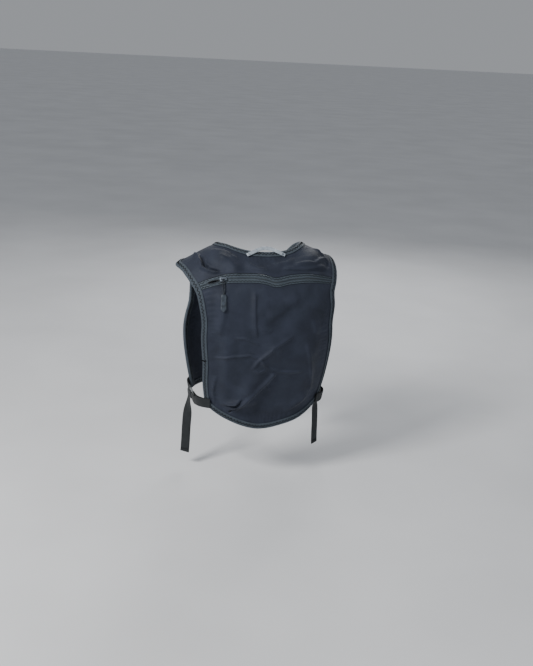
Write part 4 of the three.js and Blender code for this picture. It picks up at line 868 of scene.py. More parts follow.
def front_drape(side, reach, drop, to_neck, to_armhole):
    """Small folds of a front panel between its bound edges."""
    nearest = np.minimum(to_neck, to_armhole)
    free = smooth((nearest - BINDING_WIDTH) / 5)
    soft = smooth((nearest - EDGE_BAND) / 12)
    x = reach * half_width(drop)
    waves = 0.8 * np.sin(drop * 0.052 + side * 0.9) * np.sin(x * 0.06 + 0.4)
    pleats = puckers(drop, to_armhole - BINDING_WIDTH) + puckers(drop + 25, to_neck - BINDING_WIDTH)
    return free * pleats + soft * (waves + ripples(reach, drop))


def front_places(side, drop, columns, inset):
    """Reaches of a front panel's columns at drops, and those of its two edges."""
    neck, _ = neck_place(side, neck_at(drop))
    armhole = armhole_reach(side, drop)
    first = neck + side * inset / reach_length(neck, drop)
    last = armhole - side * inset / reach_length(armhole, drop)
    return mix(first, last, columns), neck, armhole


def make_front(side, word):
    """One front panel, from the shoulder seam to its hem."""
    top = SEAM_DROP + PIECE_GAP / 2
    drop = np.linspace(top, FRONT_LENGTH - EDGE_INSET, 190)[:, None]
    columns = np.linspace(0, 1, 70)[None, :]
    reach, neck, armhole = front_places(side, drop, columns, EDGE_INSET)
    drop = np.broadcast_to(drop, reach.shape)
    half = half_width(drop)
    to_neck = np.abs(reach - neck) * half
    to_armhole = np.abs(armhole - reach) * half
    drape = front_drape(side, reach, drop, to_neck, to_armhole)
    low = SKIN_GAP + drape * smooth((drop - top) / 20)
    seam = 0.5 * np.exp(-((drop - top - 2) / 2) ** 2)
    panel = cloth(f"front_panel_cloth_{word}", reach, drop, low, low + SHELL_WALL + seam, SHELL,
                  [f"front_panel_{word}"], flip=side > 0)


def pocket_lift(across, down):
    """How far a flask pocket stands off the panel."""
    side = np.sqrt(np.maximum(0, 1 - (2 * across - 1) ** 2))
    closing = np.maximum(0, 1 - (1 - down) / POCKET_ROUNDING)
    foot = np.sqrt(np.maximum(0, 1 - closing * closing))
    return POCKET_BULGE * side * foot


def pocket_wall(name, side, down, low, high, material, nodes):
    """A wall over a pocket at levels given as shares of its length from the top."""
    across = (1 - np.cos(math.pi * np.linspace(0, 1, 81))) / 2
    drop = FRONT_LENGTH - POCKET_FOOT - (1 - down[:, None]) * POCKET_LENGTH
    reach, _, _ = front_places(side, drop, across[None, :], POCKET_INSET)
    drop = np.broadcast_to(drop, reach.shape)
    lift = pocket_lift(across[None, :], down[:, None])
    run = np.linspace(0, 60, 81)[None, :]
    free = np.sin(math.pi * across[None, :]) * smooth(lift / 4)
    below_rim = down[:, None] * POCKET_LENGTH - POCKET_RIM
    gathers = 0.55 * np.sin(run * 1.3) * np.exp(-(below_rim / 16) ** 2)
    sags = 0.9 * np.sin(down[:, None] * 19 + run * 0.12) * np.sin(run * 0.16)
    base = SKIN_GAP + SHELL_WALL + PIECE_GAP + lift + free * (gathers + sags)
    return cloth(name, reach, drop, base + low, base + high, material, nodes, flip=side > 0)


def make_pocket(side, word):
    """One flask pocket of mesh with its turned rim."""
    down = np.linspace(0, 1, 100)
    pocket = pocket_wall(f"flask_pocket_cloth_{word}", side, down, 0, POCKET_WALL, POCKET_MESH,
                         [f"front_pocket_{word}"])
    rim = np.linspace(0, POCKET_RIM / POCKET_LENGTH, 12)
    low = POCKET_WALL + PIECE_GAP
    softened = 0.35 * np.linspace(-1, 1, 12)[:, None] ** 2
    pocket_wall(f"pocket_rim_tape_{word}", side, rim, low, low + POCKET_RIM_WALL - softened,
                TAPE, [f"pocket_rim_{word}"])


# Bound edges

class Edge:
    """A finished edge as a curve of places, by distance along it. cloth_side is 1 where the cloth lies
    to the left of its run, seen from outside."""

    def __init__(self, curve, cloth_side):
        shares = np.linspace(0, 1, 1200)
        self.reach, self.drop = curve(shares)
        points = body_point(self.reach, self.drop)
        self.lengths = distances(points)
        self.length = self.lengths[-1]
        self.cloth_side = cloth_side

    def places(self, distance):
        """Reach and drop at distances along the edge."""
        reach = np.interp(distance, self.lengths, self.reach)
        drop = np.interp(distance, self.lengths, self.drop)
        return reach, drop

    def points(self, distance, inward, lift):
        """Points at distances along the edge, inward from it over the cloth, and above the body."""
        step = 3.0
        reach, drop = self.places(distance)
        along = unit(
            body_point(*self.places(np.minimum(distance + step, self.length)))
            - body_point(*self.places(np.maximum(distance - step, 0)))
        )
        normal, _, _ = body_frame(reach, drop)
        into = unit(np.cross(normal, along)) * self.cloth_side
        return lifted(*slid(reach, drop, into, inward), lift)

    def ends(self):
        """The directions in which the edge leaves its two ends."""
        step = 12.0
        first = body_point(*self.places(step)) - body_point(*self.places(0.0))
        last = body_point(*self.places(self.length - step)) - body_point(*self.places(self.length))
        return unit(first), unit(last)


def binding_profile():
    """The tape's outline across a bound edge: inward distances and lifts, with a stitched groove."""
    low = SKIN_GAP - BINDING_CLEARANCE
    high = SKIN_GAP + SHELL_WALL + BINDING_CLEARANCE
    middle = (low + high) / 2
    radius = (high - low) / 2 + BINDING_WALL
    inward = np.linspace(BINDING_WIDTH, radius * 0.55, 12)
    groove = 0.15 * np.exp(-((inward - BINDING_WIDTH * SEAM_PLACE) / 2.4) ** 2)
    edge = 0.45 * smooth((inward - BINDING_WIDTH + 1.4) / 1.4)
    top = [(w, high + BINDING_WALL - g - e) for w, g, e in zip(inward, groove, edge)]
    turn = [
        (radius * 0.55 * (1 - math.sin(angle)), middle + radius * math.cos(angle))
        for angle in np.linspace(0, math.pi, 9)[1:-1]
    ]
    bottom = [(w, low - BINDING_WALL + g + e) for w, g, e in zip(inward, groove, edge)][::-1]
    inside = [(BINDING_WIDTH, low), (BINDING_WALL, low + 0.1)]
    inside += [(BINDING_WALL, high - 0.1), (BINDING_WIDTH, high)]
    return np.array(top + turn + bottom + inside)


def mitred(edge, distance, inward, mitres):
    """Distances along an edge that stop at the mitre lines at its ends."""
    moved = np.array(distance, float)
    for at_end, other in zip((False, True), mitres):
        own = edge.ends()[1 if at_end else 0]
        half = math.acos(float(np.clip(np.dot(own, other), -1, 1))) / 2
        stop = inward / math.tan(half) + PIECE_GAP / 2 / math.sin(half)
        gone = edge.length - moved if at_end else moved
        shifted = np.where(gone < MITRE_REACH, stop + gone * (1 - stop / MITRE_REACH), gone)
        moved = edge.length - shifted if at_end else shifted
    return moved


def make_binding(name, edge, mitres, nodes):
    """A tape folded over a bound edge, with its small gathers and its zigzag stitches on both faces."""
    profile = binding_profile()
    steps = int(edge.length / 2.4)
    distance = np.linspace(0, edge.length, steps)[:, None]
    inward = np.broadcast_to(profile[None, :, 0], (steps, len(profile)))
    along = mitred(edge, np.broadcast_to(distance, inward.shape), inward, mitres)
    wave = 0.16 * np.sin(along * 0.9) + 0.12 * np.sin(along * 0.37 + 1)
    middle = SKIN_GAP + SHELL_WALL / 2
    outward = np.sign(profile[None, :, 1] - middle)
    lift = profile[None, :, 1] + outward * wave * np.exp(-((inward - BINDING_WIDTH * 0.5) / 3.5) ** 2)
    points = edge.points(along.ravel(), inward.ravel(), lift.ravel()).reshape(steps, len(profile), 3)
    vertices, faces = sweep(points)
    cloth_places = np.broadcast_arrays(along, distances(profile)[None, :])
    uvs = np.stack(cloth_places, axis=-1).reshape(-1, 2)
    finished(make_object(name, vertices, faces, uvs), TAPE, nodes)
    high = SKIN_GAP + SHELL_WALL + BINDING_CLEARANCE + BINDING_WALL - STITCH_SINK
    low = SKIN_GAP - BINDING_CLEARANCE - BINDING_WALL + STITCH_SINK
    threads = [zigzag(edge, high, 1), zigzag(edge, low, -1)]
    finished(make_object(f"{name}_stitches", *joined(threads)), THREAD)


def zigzag_course(length):
    """Shares along a zigzag seam, its swing from -1 to 1, and 1 where the thread stands up."""
    corners = int(length / STITCH_PITCH)
    count = np.arange(2 * corners + 1)
    swing = np.where(count % 4 == 0, 1.0, np.where(count % 4 == 2, -1.0, 0.0))
    return count / count[-1], swing, count % 2


def zigzag(edge, lift, outward):
    """One zigzag seam along the middle of a binding."""
    share, swing, standing = zigzag_course(edge.length - 2 * EDGE_BAND)
    distance = mix(EDGE_BAND, edge.length - EDGE_BAND, share)
    inward = BINDING_WIDTH * SEAM_PLACE + STITCH_REACH * swing
    height = lift + outward * 0.35 * standing
    return tube(edge.points(distance, inward, height), STITCH_RADIUS, 4)


def armhole_curve(side):
    """One side's armhole edge, from the back's lower corner over the shoulder to the front's."""
    def curve(share):
        drop = mix(-BACK_LENGTH, FRONT_LENGTH, share)
        return armhole_reach(side, drop), drop
    return curve


def hem_curve(share):
    """The back's lower edge, from left to right."""
    return across_place(share, hem_drop(share))


def neck_curve(share):
    """The neck edge, from the left front round the back to the right front."""
    left = neck_place(-1, np.abs(2 * share - 1))
    right = neck_place(1, np.abs(2 * share - 1))
    return np.where(share < 0.5, left[0], right[0]), np.where(share < 0.5, left[1], right[1])


def front_hem_curve(side):
    """One front's lower edge, from the neck edge to the armhole."""
    start, _ = neck_place(side, 1.0)
    end = armhole_reach(side, np.float64(FRONT_LENGTH))
    return lambda share: (mix(start, end, share), np.full(np.shape(share), float(FRONT_LENGTH)))


def make_bindings():
    """The tapes of all the edges, mitred where they meet, and a tack on the left armhole's tape."""
    armholes = {side: Edge(armhole_curve(side), side) for side in (-1, 1)}
    hem = Edge(hem_curve, 1)
    neck = Edge(neck_curve, -1)
    front_hems = {side: Edge(front_hem_curve(side), -side) for side in (-1, 1)}
    hem_mitres = [armholes[-1].ends()[0], armholes[1].ends()[0]]
    neck_mitres = [front_hems[-1].ends()[0], front_hems[1].ends()[0]]
    make_binding("hem_tape", hem, hem_mitres, ["hem_binding"])
    make_binding("neck_tape", neck, neck_mitres, ["neck_binding"])
    tack_distance = BACK_LENGTH * (1 - TAPE_TACK_PLACE)
    on_edge = armholes[-1].places(tack_distance)
    tack_reach, tack_drop = slid(*on_edge, np.array([1.0, 0, 0]), BINDING_WIDTH / 2)
    tack = surface_frame(tack_reach, tack_drop, TRIM_LIFT - PIECE_GAP)
    bar_tack("armhole_tape_tack", (tack["point"], tack["across"] * 2, tack["along"] * (BINDING_WIDTH - 3),
                                   tack["normal"]), 0.2, 10)
    for side, word in SIDES:
        end = 0 if side < 0 else 1
        armhole_mitres = [hem.ends()[end], front_hems[side].ends()[1]]
        front_mitres = [neck.ends()[end], armholes[side].ends()[1]]
        make_binding(f"armhole_tape_{word}", armholes[side], armhole_mitres, [f"armhole_binding_{word}"])
        make_binding(f"front_hem_tape_{word}", front_hems[side], front_mitres, [f"front_hem_{word}"])


# Webbing

def distances(points):
    """Distances along a course of points."""
    return np.concatenate([[0], np.cumsum(np.linalg.norm(np.diff(points, axis=0), axis=1))])


def webbing_sections(points, across, width, thickness, ripple=0.0):
    """Sections of a flat webbing with soft edges through points, each with a direction across it."""
    points = np.asarray(points, float)
    across = unit(np.asarray(across, float))
    run = unit(np.gradient(points, axis=0))
    across = unit(across - run * np.sum(across * run, axis=1, keepdims=True))
    normal = np.cross(run, across)
    share = np.linspace(-1, 1, 9)
    rounding = thickness / 2 * np.sqrt(np.clip(1.05 - share**8, 0.08, 1))
    outline = [(w * width / 2, -t) for w, t in zip(share, rounding)]
    outline += [(w * width / 2, t) for w, t in zip(share[::-1], rounding[::-1])]
    outline = np.array(outline)
    sections = (
        points[:, None]
        + across[:, None] * outline[None, :, 0, None]
        + normal[:, None] * outline[None, :, 1, None]
    )
    if ripple:
        wave = ripple * np.sin(distances(points)[:, None] * 0.16) * (outline[None, :, 0] / width)
        sections = sections + normal[:, None] * wave[..., None]
    return sections, outline


def webbing(name, points, across, width, thickness, material, nodes=(), ripple=0.0):
    """A flat webbing along points."""
    sections, outline = webbing_sections(points, across, width, thickness, ripple)
    vertices, faces = sweep(sections)
    cloth_places = np.broadcast_arrays(distances(points)[:, None], outline[None, :, 0])
    uvs = np.stack(cloth_places, axis=-1).reshape(-1, 2)
    return finished(make_object(name, vertices, faces, uvs), material, nodes)


def resampled(points, across, step):
    """A smooth course through stations, evenly spaced."""
    points = np.asarray(points, float)
    across = np.asarray(across, float)
    distance = distances(points)
    wanted = np.linspace(0, distance[-1], max(3, int(distance[-1] / step)))
    table = {"at": distance}
    course = []
    turn = []
    for axis in range(3):
        table[axis] = points[:, axis]
        course.append(read(table, "at", axis, wanted))
        turn.append(np.interp(wanted, distance, across[:, axis]))
    return np.stack(course, axis=1), unit(np.stack(turn, axis=1))


def girdle(side):
    """The level course round the body that the side straps follow, from the back's edge to the front's.
    Gives a function from distance to point, along, across and normal, and the course's length."""
    power = 2 / SECTION_POWER
    start = math.asin(abs(float(armhole_reach(side, np.float64(-BACK_LENGTH)))) ** (1 / power))
    end = math.pi - math.asin(abs(float(armhole_reach(side, np.float64(FRONT_LENGTH)))) ** (1 / power))

    def at(angle, above=0.0):
        s = body_section(STRAP_DROP - above)
        depth = np.where(np.cos(angle) > 0, -s["back"], s["front"])
        y = depth * np.abs(np.cos(angle)) ** power
        pull = STRAP_PULL * np.sin(math.pi * np.clip((angle - start) / (end - start), 0, 1)) ** 2
        x = side * (s["half"] * np.sin(angle) ** power - pull)
        return np.stack([x, y, np.full(np.shape(angle), -BLADE_DROP - s["fall"])], axis=-1)

    lap = 0.35  # of angle past both ends, for the sewn laps
    angles = np.linspace(start - lap, end + lap, 800)
    course = at(angles)
    rise = unit(at(angles, 1.0) - at(angles, -1.0))
    lengths = distances(course)
    origin = np.interp(start, angles, lengths)

    def frame_at(distance):
        wanted = origin + distance
        point, along, up = [
            np.array([np.interp(wanted, lengths, values[:, axis]) for axis in range(3)])
            for values in (course, np.gradient(course, axis=0), rise)
        ]
        along = unit(along)
        normal = unit(np.cross(along, up) * side)
        across = np.cross(normal, along) * side
        return {"point": point, "along": along, "normal": normal, "across": across}

    return frame_at, float(np.interp(end, angles, lengths) - origin)


def turn_radius(bar_wall):
    """From a bar's middle to the middle of a webbing that goes round it."""
    return bar_wall / 2 + TURN_CLEARANCE + WEBBING_WALL / 2


def station(fitting, along, out, up=0.0):
    """A point beside a fitting and the direction across the webbing there."""
    point = fitting["point"] + fitting["along"] * along + fitting["normal"] * out + fitting["across"] * up
    return point, fitting["across"]


def raised(fitting, lift):
    """A fitting's frame moved out along its normal."""
    return {**fitting, "point": fitting["point"] + fitting["normal"] * lift}


def turn_stations(fitting, bar, heading, bar_wall):
    """Stations of a webbing that goes round a bar, from its outer side to its inner side."""
    radius = turn_radius(bar_wall)
    angles = np.linspace(0, math.pi, 9)
    return [
        station(fitting, bar + heading * (TURN_CLEARANCE + radius * math.sin(a)), radius * math.cos(a))
        for a in angles
    ]


def girdle_stations(frame_at, start, end, start_lift, end_lift):
    """Stations along the girdle between two distances, whose height changes evenly."""
    steps = max(3, int(abs(end - start) / 4))
    made = []
    for share in np.linspace(0, 1, steps):
        made.append(station(frame_at(mix(start, end, share)), 0, mix(start_lift, end_lift, share)))
    return made


def lock_frame(frame_at):
    """The ladder lock's place and directions."""
    return raised(frame_at(LOCK_PLACE), STRAP_LIFT + turn_radius(LOCK_WALL))


def strap_from(name, stations, width, node):
    """A dark webbing through stations."""
    points, across = resampled([s[0] for s in stations], [s[1] for s in stations], STRAP_STEP)
    webbing(name, points, across, width, WEBBING_WALL, DARK_WEBBING, [node])


def bar_tack(name, corners, lift, rows, material=None):
    """A block of close zigzag stitches on a webbing. corners are its middle, its extents along and
    across, and the direction outwards."""
    middle, along, up, out = [np.asarray(corner, float) for corner in corners]
    share = np.linspace(-0.5, 0.5, rows * 2 + 1)
    zig = np.where(np.arange(rows * 2 + 1) % 2 == 0, -0.5, 0.5)
    points = middle + along * share[:, None] + up * zig[:, None] + unit(out) * lift
    finished(make_object(name, *tube(points, TACK_RADIUS, 4)), material or THREAD)


def make_side(side, word):
    """One side's doubled loop, ladder lock and strap with its free tail."""
    frame_at, length = girdle(side)
    lock = lock_frame(frame_at)
    radius = turn_radius(LOCK_WALL)
    leave = LOCK_PLACE - TURN_REACH - 7
    upper = STRAP_LIFT + WEBBING_WALL + PIECE_GAP
    loop = girdle_stations(frame_at, -STRAP_LAP, leave, upper, STRAP_LIFT + 2 * radius)
    loop.append(station(lock, -TURN_REACH, radius))
    loop += turn_stations(lock, -LOCK_SLOT - LOCK_BAR, 1, LOCK_WALL)
    loop += girdle_stations(frame_at, leave, -STRAP_LAP, STRAP_LIFT, STRAP_LIFT)
    strap_from(f"lock_loop_webbing_{word}", loop, WEBBING_WIDTH, f"lock_loop_{word}")

    arrive = LOCK_PLACE + TURN_REACH
    strap = girdle_stations(frame_at, length + STRAP_LAP, arrive, STRAP_LIFT, STRAP_LIFT)
    strap += turn_stations(lock, LOCK_SLOT + LOCK_BAR, -1, LOCK_WALL)[::-1]
    strap.append(station(lock, TURN_REACH, radius))
    for angle in np.linspace(0, math.pi / 2, 9):
        point, _ = station(lock, TURN_REACH + TAIL_START + TAIL_BEND * math.sin(angle), radius,
                           TAIL_BEND * (math.cos(angle) - 1))
        strap.append((point, lock["across"] * math.cos(angle) + lock["along"] * math.sin(angle)))
    corner, across = strap[-1]
    for share in np.linspace(0, 1, 26)[1:]:
        swing = TAIL_SWING * share + 1.2 * math.sin(share * 5.2) * share
        point = corner + np.array([0, 0, -TAIL_LENGTH * share]) + lock["normal"] * swing
        turn = -side * TAIL_TURN * float(smooth(share / TAIL_TURN_SHARE))
        turned = np.array(Matrix.Rotation(turn, 3, "Z") @ Vector(across))
        strap.append((point, turned))
    strap_from(f"side_strap_webbing_{word}", strap, WEBBING_WIDTH, f"side_strap_{word}")

    end_point, end_across = strap[-1]
    middle = end_point + np.array([0, 0, 7.0])
    tail_corners = (middle, end_across * (WEBBING_WIDTH - 4), (0, 0, 2.2), lock["normal"])
    bar_tack(f"tail_end_stitches_{word}", tail_corners, WEBBING_WALL / 2 + 0.1, 12)
    laps = [("rear", -STRAP_LAP / 2, upper), ("front", length + STRAP_LAP / 2, STRAP_LIFT)]
    for label, distance, lift in laps:
        place = frame_at(distance)
        middle, up = station(place, 0, lift)
        corners = (middle, up * (WEBBING_WIDTH - 3), place["along"] * 3.2, place["normal"])
        bar_tack(f"strap_tack_{label}_{word}", corners, WEBBING_WALL / 2 + 0.1, 14)
    make_ladder_lock(lock, word)


def rounded_block(fitting, centre, size, corner):
    """Points and faces of a block with rounded edges in a fitting's frame: along, across, out."""
    half = np.array(size) / 2
    corner = min(corner, *(half * 0.98))
    angles = np.linspace(0, math.pi / 2, 4)
    ring = []
    for turn, (sx, sy) in enumerate([(1, 1), (-1, 1), (-1, -1), (1, -1)]):
        for angle in angles:
            a = angle + turn * math.pi / 2
            ring.append((sx * (half[0] - corner), sy * (half[1] - corner), math.cos(a), math.sin(a)))
    ring = np.array(ring)
    sections = []
    for angle in np.linspace(-math.pi / 2, math.pi / 2, 7):
        out = math.sin(angle) * corner + math.copysign(half[2] - corner, angle) if angle else 0.0
        spread = corner * math.cos(angle)
        x = centre[0] + ring[:, 0] + ring[:, 2] * spread
        y = centre[1] + ring[:, 1] + ring[:, 3] * spread
        level = fitting["point"] + fitting["normal"] * (centre[2] + out)
        sections.append(level + fitting["along"] * x[:, None] + fitting["across"] * y[:, None])
    return sweep(sections)


def make_ladder_lock(lock, word):
    """A moulded frame with two side rails and three bars."""
    length = 3 * LOCK_BAR + 2 * LOCK_SLOT
    opening = WEBBING_WIDTH + 2 * PIECE_GAP
    rail = (opening + LOCK_RIM) / 2
    rail_size = (length, LOCK_RIM, LOCK_WALL + 0.6)
    bar_size = (LOCK_BAR - 0.2, opening + 1, LOCK_WALL - 0.2)
    parts = [rounded_block(lock, (0, edge * rail, 0), rail_size, 1.2) for edge in (-1, 1)]
    for place in (-LOCK_SLOT - LOCK_BAR, 0, LOCK_SLOT + LOCK_BAR):
        parts.append(rounded_block(lock, (place, 0, 0), bar_size, 1.1))
    obj = make_object(f"ladder_lock_moulding_{word}", *joined(parts))
    finished(obj, LOCK_PLASTIC, [f"ladder_lock_{word}"])


# Chest strap

def surface_frame(reach, drop, lift):
    """A place above the body form with its directions."""
    reach = np.float64(reach)
    drop = np.float64(drop)
    normal, over_reach, _ = body_frame(reach, drop)
    along = unit(over_reach)
    return {"point": body_point(reach, drop) + normal * lift, "normal": normal, "along": along,
            "across": np.cross(normal, along)}


def make_chest_strap(side, word, clasp):
    """One side's strap, from its panel round the clasp's bar and back."""
    half = float(half_width(CHEST_STRAP_DROP))
    neck, _ = neck_place(side, neck_at(CHEST_STRAP_DROP))
    start = abs(float(neck)) * half + BINDING_WIDTH + STRAP_LAP
    bar = (CLASP_LENGTH - CLASP_BAR) / 2
    leave = CLASP_LENGTH / 2 + 7
    stations = []
    for share in np.linspace(0, 1, 9):
        place = surface_frame(side * mix(start, leave, share) / half, CHEST_STRAP_DROP, STRAP_LIFT)
        stations.append(station(place, 0, 0))
    stations += turn_stations(clasp, side * bar, -side, CLASP_WALL)[::-1]
    stations.append(station(clasp, side * (bar + CLASP_BAR), turn_radius(CLASP_WALL)))
    return_lift = STRAP_LIFT + WEBBING_WALL + CHEST_TURN_GAP
    return_end = CLASP_LENGTH / 2 + CHEST_TURN_BACK
    end = surface_frame(side * return_end / half, CHEST_STRAP_DROP, return_lift)
    stations.append(station(end, 0, 0))
    strap_from(f"chest_strap_webbing_{word}", stations, CHEST_STRAP_WIDTH, f"sternum_strap_{word}")
    laps = [("return", return_end - 3, return_lift), ("panel", start - STRAP_LAP / 2, STRAP_LIFT)]
    for label, distance, lift in laps:
        place = surface_frame(side * distance / half, CHEST_STRAP_DROP, lift)
        up = place["across"] * (CHEST_STRAP_WIDTH - 3)
        corners = (place["point"], up, place["along"] * 2.6, place["normal"])
        bar_tack(f"chest_tack_{label}_{word}", corners, WEBBING_WALL / 2 + 0.1, 10)


def make_chest():
    """The plain clasp in one piece, and both chest straps."""
    clasp = surface_frame(0.0, CHEST_STRAP_DROP, STRAP_LIFT + turn_radius(CLASP_WALL))
    opening = CHEST_STRAP_WIDTH + 2 * PIECE_GAP
    rail = (CLASP_WIDTH + opening) / 4
    rail_width = (CLASP_WIDTH - opening) / 2
    body = CLASP_LENGTH - 2 * (CLASP_BAR + CLASP_SLOT)
    parts = [rounded_block(clasp, (0, 0, 0), (body, CLASP_WIDTH, CLASP_WALL), 2.2)]
    for end in (-1, 1):
        reach = (CLASP_LENGTH + body) / 4 * end
        span = (CLASP_LENGTH - body) / 2 + 2
        rail_size = (span, rail_width, CLASP_WALL - 0.8)
        for edge in (-1, 1):
            parts.append(rounded_block(clasp, (reach - end, edge * rail, 0), rail_size, 1.6))
        bar = (CLASP_LENGTH - CLASP_BAR) / 2 * end
        bar_size = (CLASP_BAR - 0.2, CLASP_WIDTH - 2, CLASP_WALL - 2.4)
        parts.append(rounded_block(clasp, (bar, 0, 0), bar_size, 1.4))
    finished(make_object("sternum_clasp_moulding", *joined(parts)), HARD_PLASTIC, ["sternum_clasp"])
    for side, word in SIDES:
        make_chest_strap(side, word, clasp)


# Hang loop

def make_hang_loop():
    """An arch of narrow ribbed webbing that turns its face up, sewn down at both ends."""
    half = float(half_width(0))
    share = np.linspace(0, 1, 90)
    reach = (HANG_OFFSET + HANG_SPAN * (share - 0.5)) / half
    arch = np.sin(math.pi * share)
    rear_neck = {column: NECK[column][:6] for column in ("reach", "drop")}
    neck = read(rear_neck, "reach", "drop", np.abs(reach)) * BACK_LENGTH
    drop = neck - BINDING_WIDTH - HANG_WEBBING_WIDTH / 2 + HANG_RISE * arch
    lift = TRIM_LIFT + HANG_WEBBING_WALL / 2 + HANG_STAND_OFF * arch
    points = lifted(reach, drop, lift)
    normal, _, _ = body_frame(reach, drop)
    across = unit(np.cross(normal, np.gradient(points, axis=0)))
    turn = HANG_TURN * np.sin(math.pi * share)[:, None]
    turned = across * np.cos(turn) + normal * np.sin(turn)
    webbing("hang_loop_webbing", points, turned, HANG_WEBBING_WIDTH, HANG_WEBBING_WALL,
            PALE_WEBBING, ["hang_loop"])
    run = unit(np.gradient(points, axis=0))
    for label, i in (("left", 5), ("right", -6)):
        corners = (points[i], run[i] * 3.4, across[i] * (HANG_WEBBING_WIDTH - 1.6), normal[i])
        bar_tack(f"hang_loop_tack_{label}", corners, HANG_WEBBING_WALL / 2 + 0.12, 9, PALE_THREAD)


# Zip

def make_zip():
    """The zip's band with its open mouth, its coil, and the slider with its cord and tab."""
    inset = zip_share(EDGE_INSET)
    columns = np.linspace(inset, 1 - inset, 260)[None, :]
    mouth_middle = zip_share(ZIP_MOUTH_START + ZIP_MOUTH_LENGTH / 2)
    mouth_half = zip_share(ZIP_MOUTH_LENGTH / 2)
    away = (columns - mouth_middle) / mouth_half
    gape = ZIP_MOUTH_HEIGHT / 2 / ZIP_WIDTH * np.sqrt(np.clip(1 - away**2, 0, 1))
    for word, levels in (("lower", np.linspace(0, 0.5, 12)), ("upper", np.linspace(0.5, 1, 12))):
        level = levels[:, None]
        share = np.abs(level - 0.5) * 2
        direction = -1 if word == "lower" else 1
        level = level + direction * gape * (1 - share)
        across = np.broadcast_to(columns, level.shape)
        reach, drop = across_place(across, zip_drop(across, level))
        low = SKIN_GAP + LINER_WALL + LAYER_GAP + back_drape(reach, drop)
        lip = 0.5 * np.exp(-(share / 0.12) ** 2)
        puff = 1.6 * np.exp(-away**2) * (1 - share)
        nodes = ["zip_tape"] if word == "upper" else []
        cloth(f"zip_band_{word}", reach, drop, low, low + PANEL_WALL + lip + puff, ZIP_CLOTH, nodes)
    make_coil(inset, mouth_middle, mouth_half)
    make_zip_stitches(inset)
    slider = surface_frame(*slider_place(), 0)
    make_slider(slider)
    make_pull()


def make_zip_stitches(inset):
    """A zigzag seam along the upper and the lower part of the band."""
    seams = []
    share, swing, standing = zigzag_course((1 - 2 * inset) / zip_share(1.0))
    across = mix(inset, 1 - inset, share)
    for middle in ZIP_SEAM_LEVELS:
        level = middle + ZIP_STITCH_REACH / ZIP_WIDTH * swing
        reach, drop = across_place(across, zip_drop(across, level))
        lift = outer_lift(reach, drop) + mix(0.05, 0.3, standing)
        seams.append(tube(lifted(reach, drop, lift), ZIP_STITCH_RADIUS, 4))
    finished(make_object("zip_band_stitches", *joined(seams)), THREAD)


def slider_place():
    """Reach and drop of the slider's middle, at the mouth's closed end."""
    middle = zip_share(ZIP_MOUTH_START + ZIP_MOUTH_LENGTH + SLIDER_LENGTH / 2)
    reach, drop = across_place(middle, zip_drop(middle, 0.5))
    return float(reach), float(drop)


def outer_lift(reach, drop):
    """Height of the back's outer face above the body form."""
    return SKIN_GAP + LINER_WALL + LAYER_GAP + PANEL_WALL + back_drape(reach, drop)


def make_coil(inset, mouth_middle, mouth_half):
    """The meshed coil of the closed zip, and its two parted halves round the mouth."""
    closed_start = mouth_middle + mouth_half
    parts = []
    stretches = [(closed_start, 1 - inset, 0), (inset, closed_start, 1), (inset, closed_start, -1)]
    for start, end, direction in stretches:
        left, _ = across_place(start, zip_drop(start, 0.5))
        right, _ = across_place(end, zip_drop(end, 0.5))
        length = (right - left) * half_width(ZIP_DROP)
        turns = int(length / COIL_PITCH)
        share = np.linspace(0, 1, turns * 8 + 1)
        across = mix(start, end, share)
        away = (across - mouth_middle) / mouth_half
        gape = ZIP_MOUTH_HEIGHT / 2 / ZIP_WIDTH * np.sqrt(np.clip(1 - away**2, 0, 1)) * direction
        angle = share * turns * 2 * math.pi
        level = 0.5 + gape + COIL_RADIUS / ZIP_WIDTH * 1.3 * np.sin(angle)
        reach, drop = across_place(across, zip_drop(across, level))
        lift = outer_lift(reach, drop) + 0.5 + COIL_RADIUS * 0.6 * np.cos(angle)
        lift = lift + 1.4 * np.exp(-away**2) * abs(direction)
        parts.append(tube(lifted(reach, drop, lift), 0.34, 5))
    finished(make_object("zip_coil", *joined(parts)), COIL)


def make_slider(place):
    """A slider with a rounded body, side wings and a bridge for the cord."""
    lift = outer_lift(*slider_place()) + PIECE_GAP + SLIDER_HEIGHT / 2
    body = raised(place, lift)
    shoulder = SLIDER_LENGTH / 4 - 0.6
    half_length = SLIDER_LENGTH / 2 + 1
    height = SLIDER_HEIGHT - 0.8
    parts = [
        rounded_block(body, (-shoulder, 0, 0), (half_length, SLIDER_WIDTH, height), 1.3),
        rounded_block(body, (shoulder, 0, 0), (half_length, SLIDER_WIDTH * 0.74, height), 1.3),
    ]
    angles = np.linspace(0, math.pi, 12)[:, None]
    arch = body["along"] * (4.4 * np.cos(angles)) + body["normal"] * (1.2 + 2.6 * np.sin(angles))
    parts.append(tube(body["point"] + arch, 0.75, 8))
    finished(make_object("zip_slider_body", *joined(parts)), SLIDER_METAL, ["zip_slider"])


def pull_point(distance, extra=0.0):
    """A point straight below the slider's middle over the panel."""
    reach, drop = slider_place()
    below = np.float64(drop - distance)
    place = np.float64(reach * half_width(drop) / half_width(below))
    return lifted(place, below, outer_lift(place, below) + PULL_LIFT + extra)


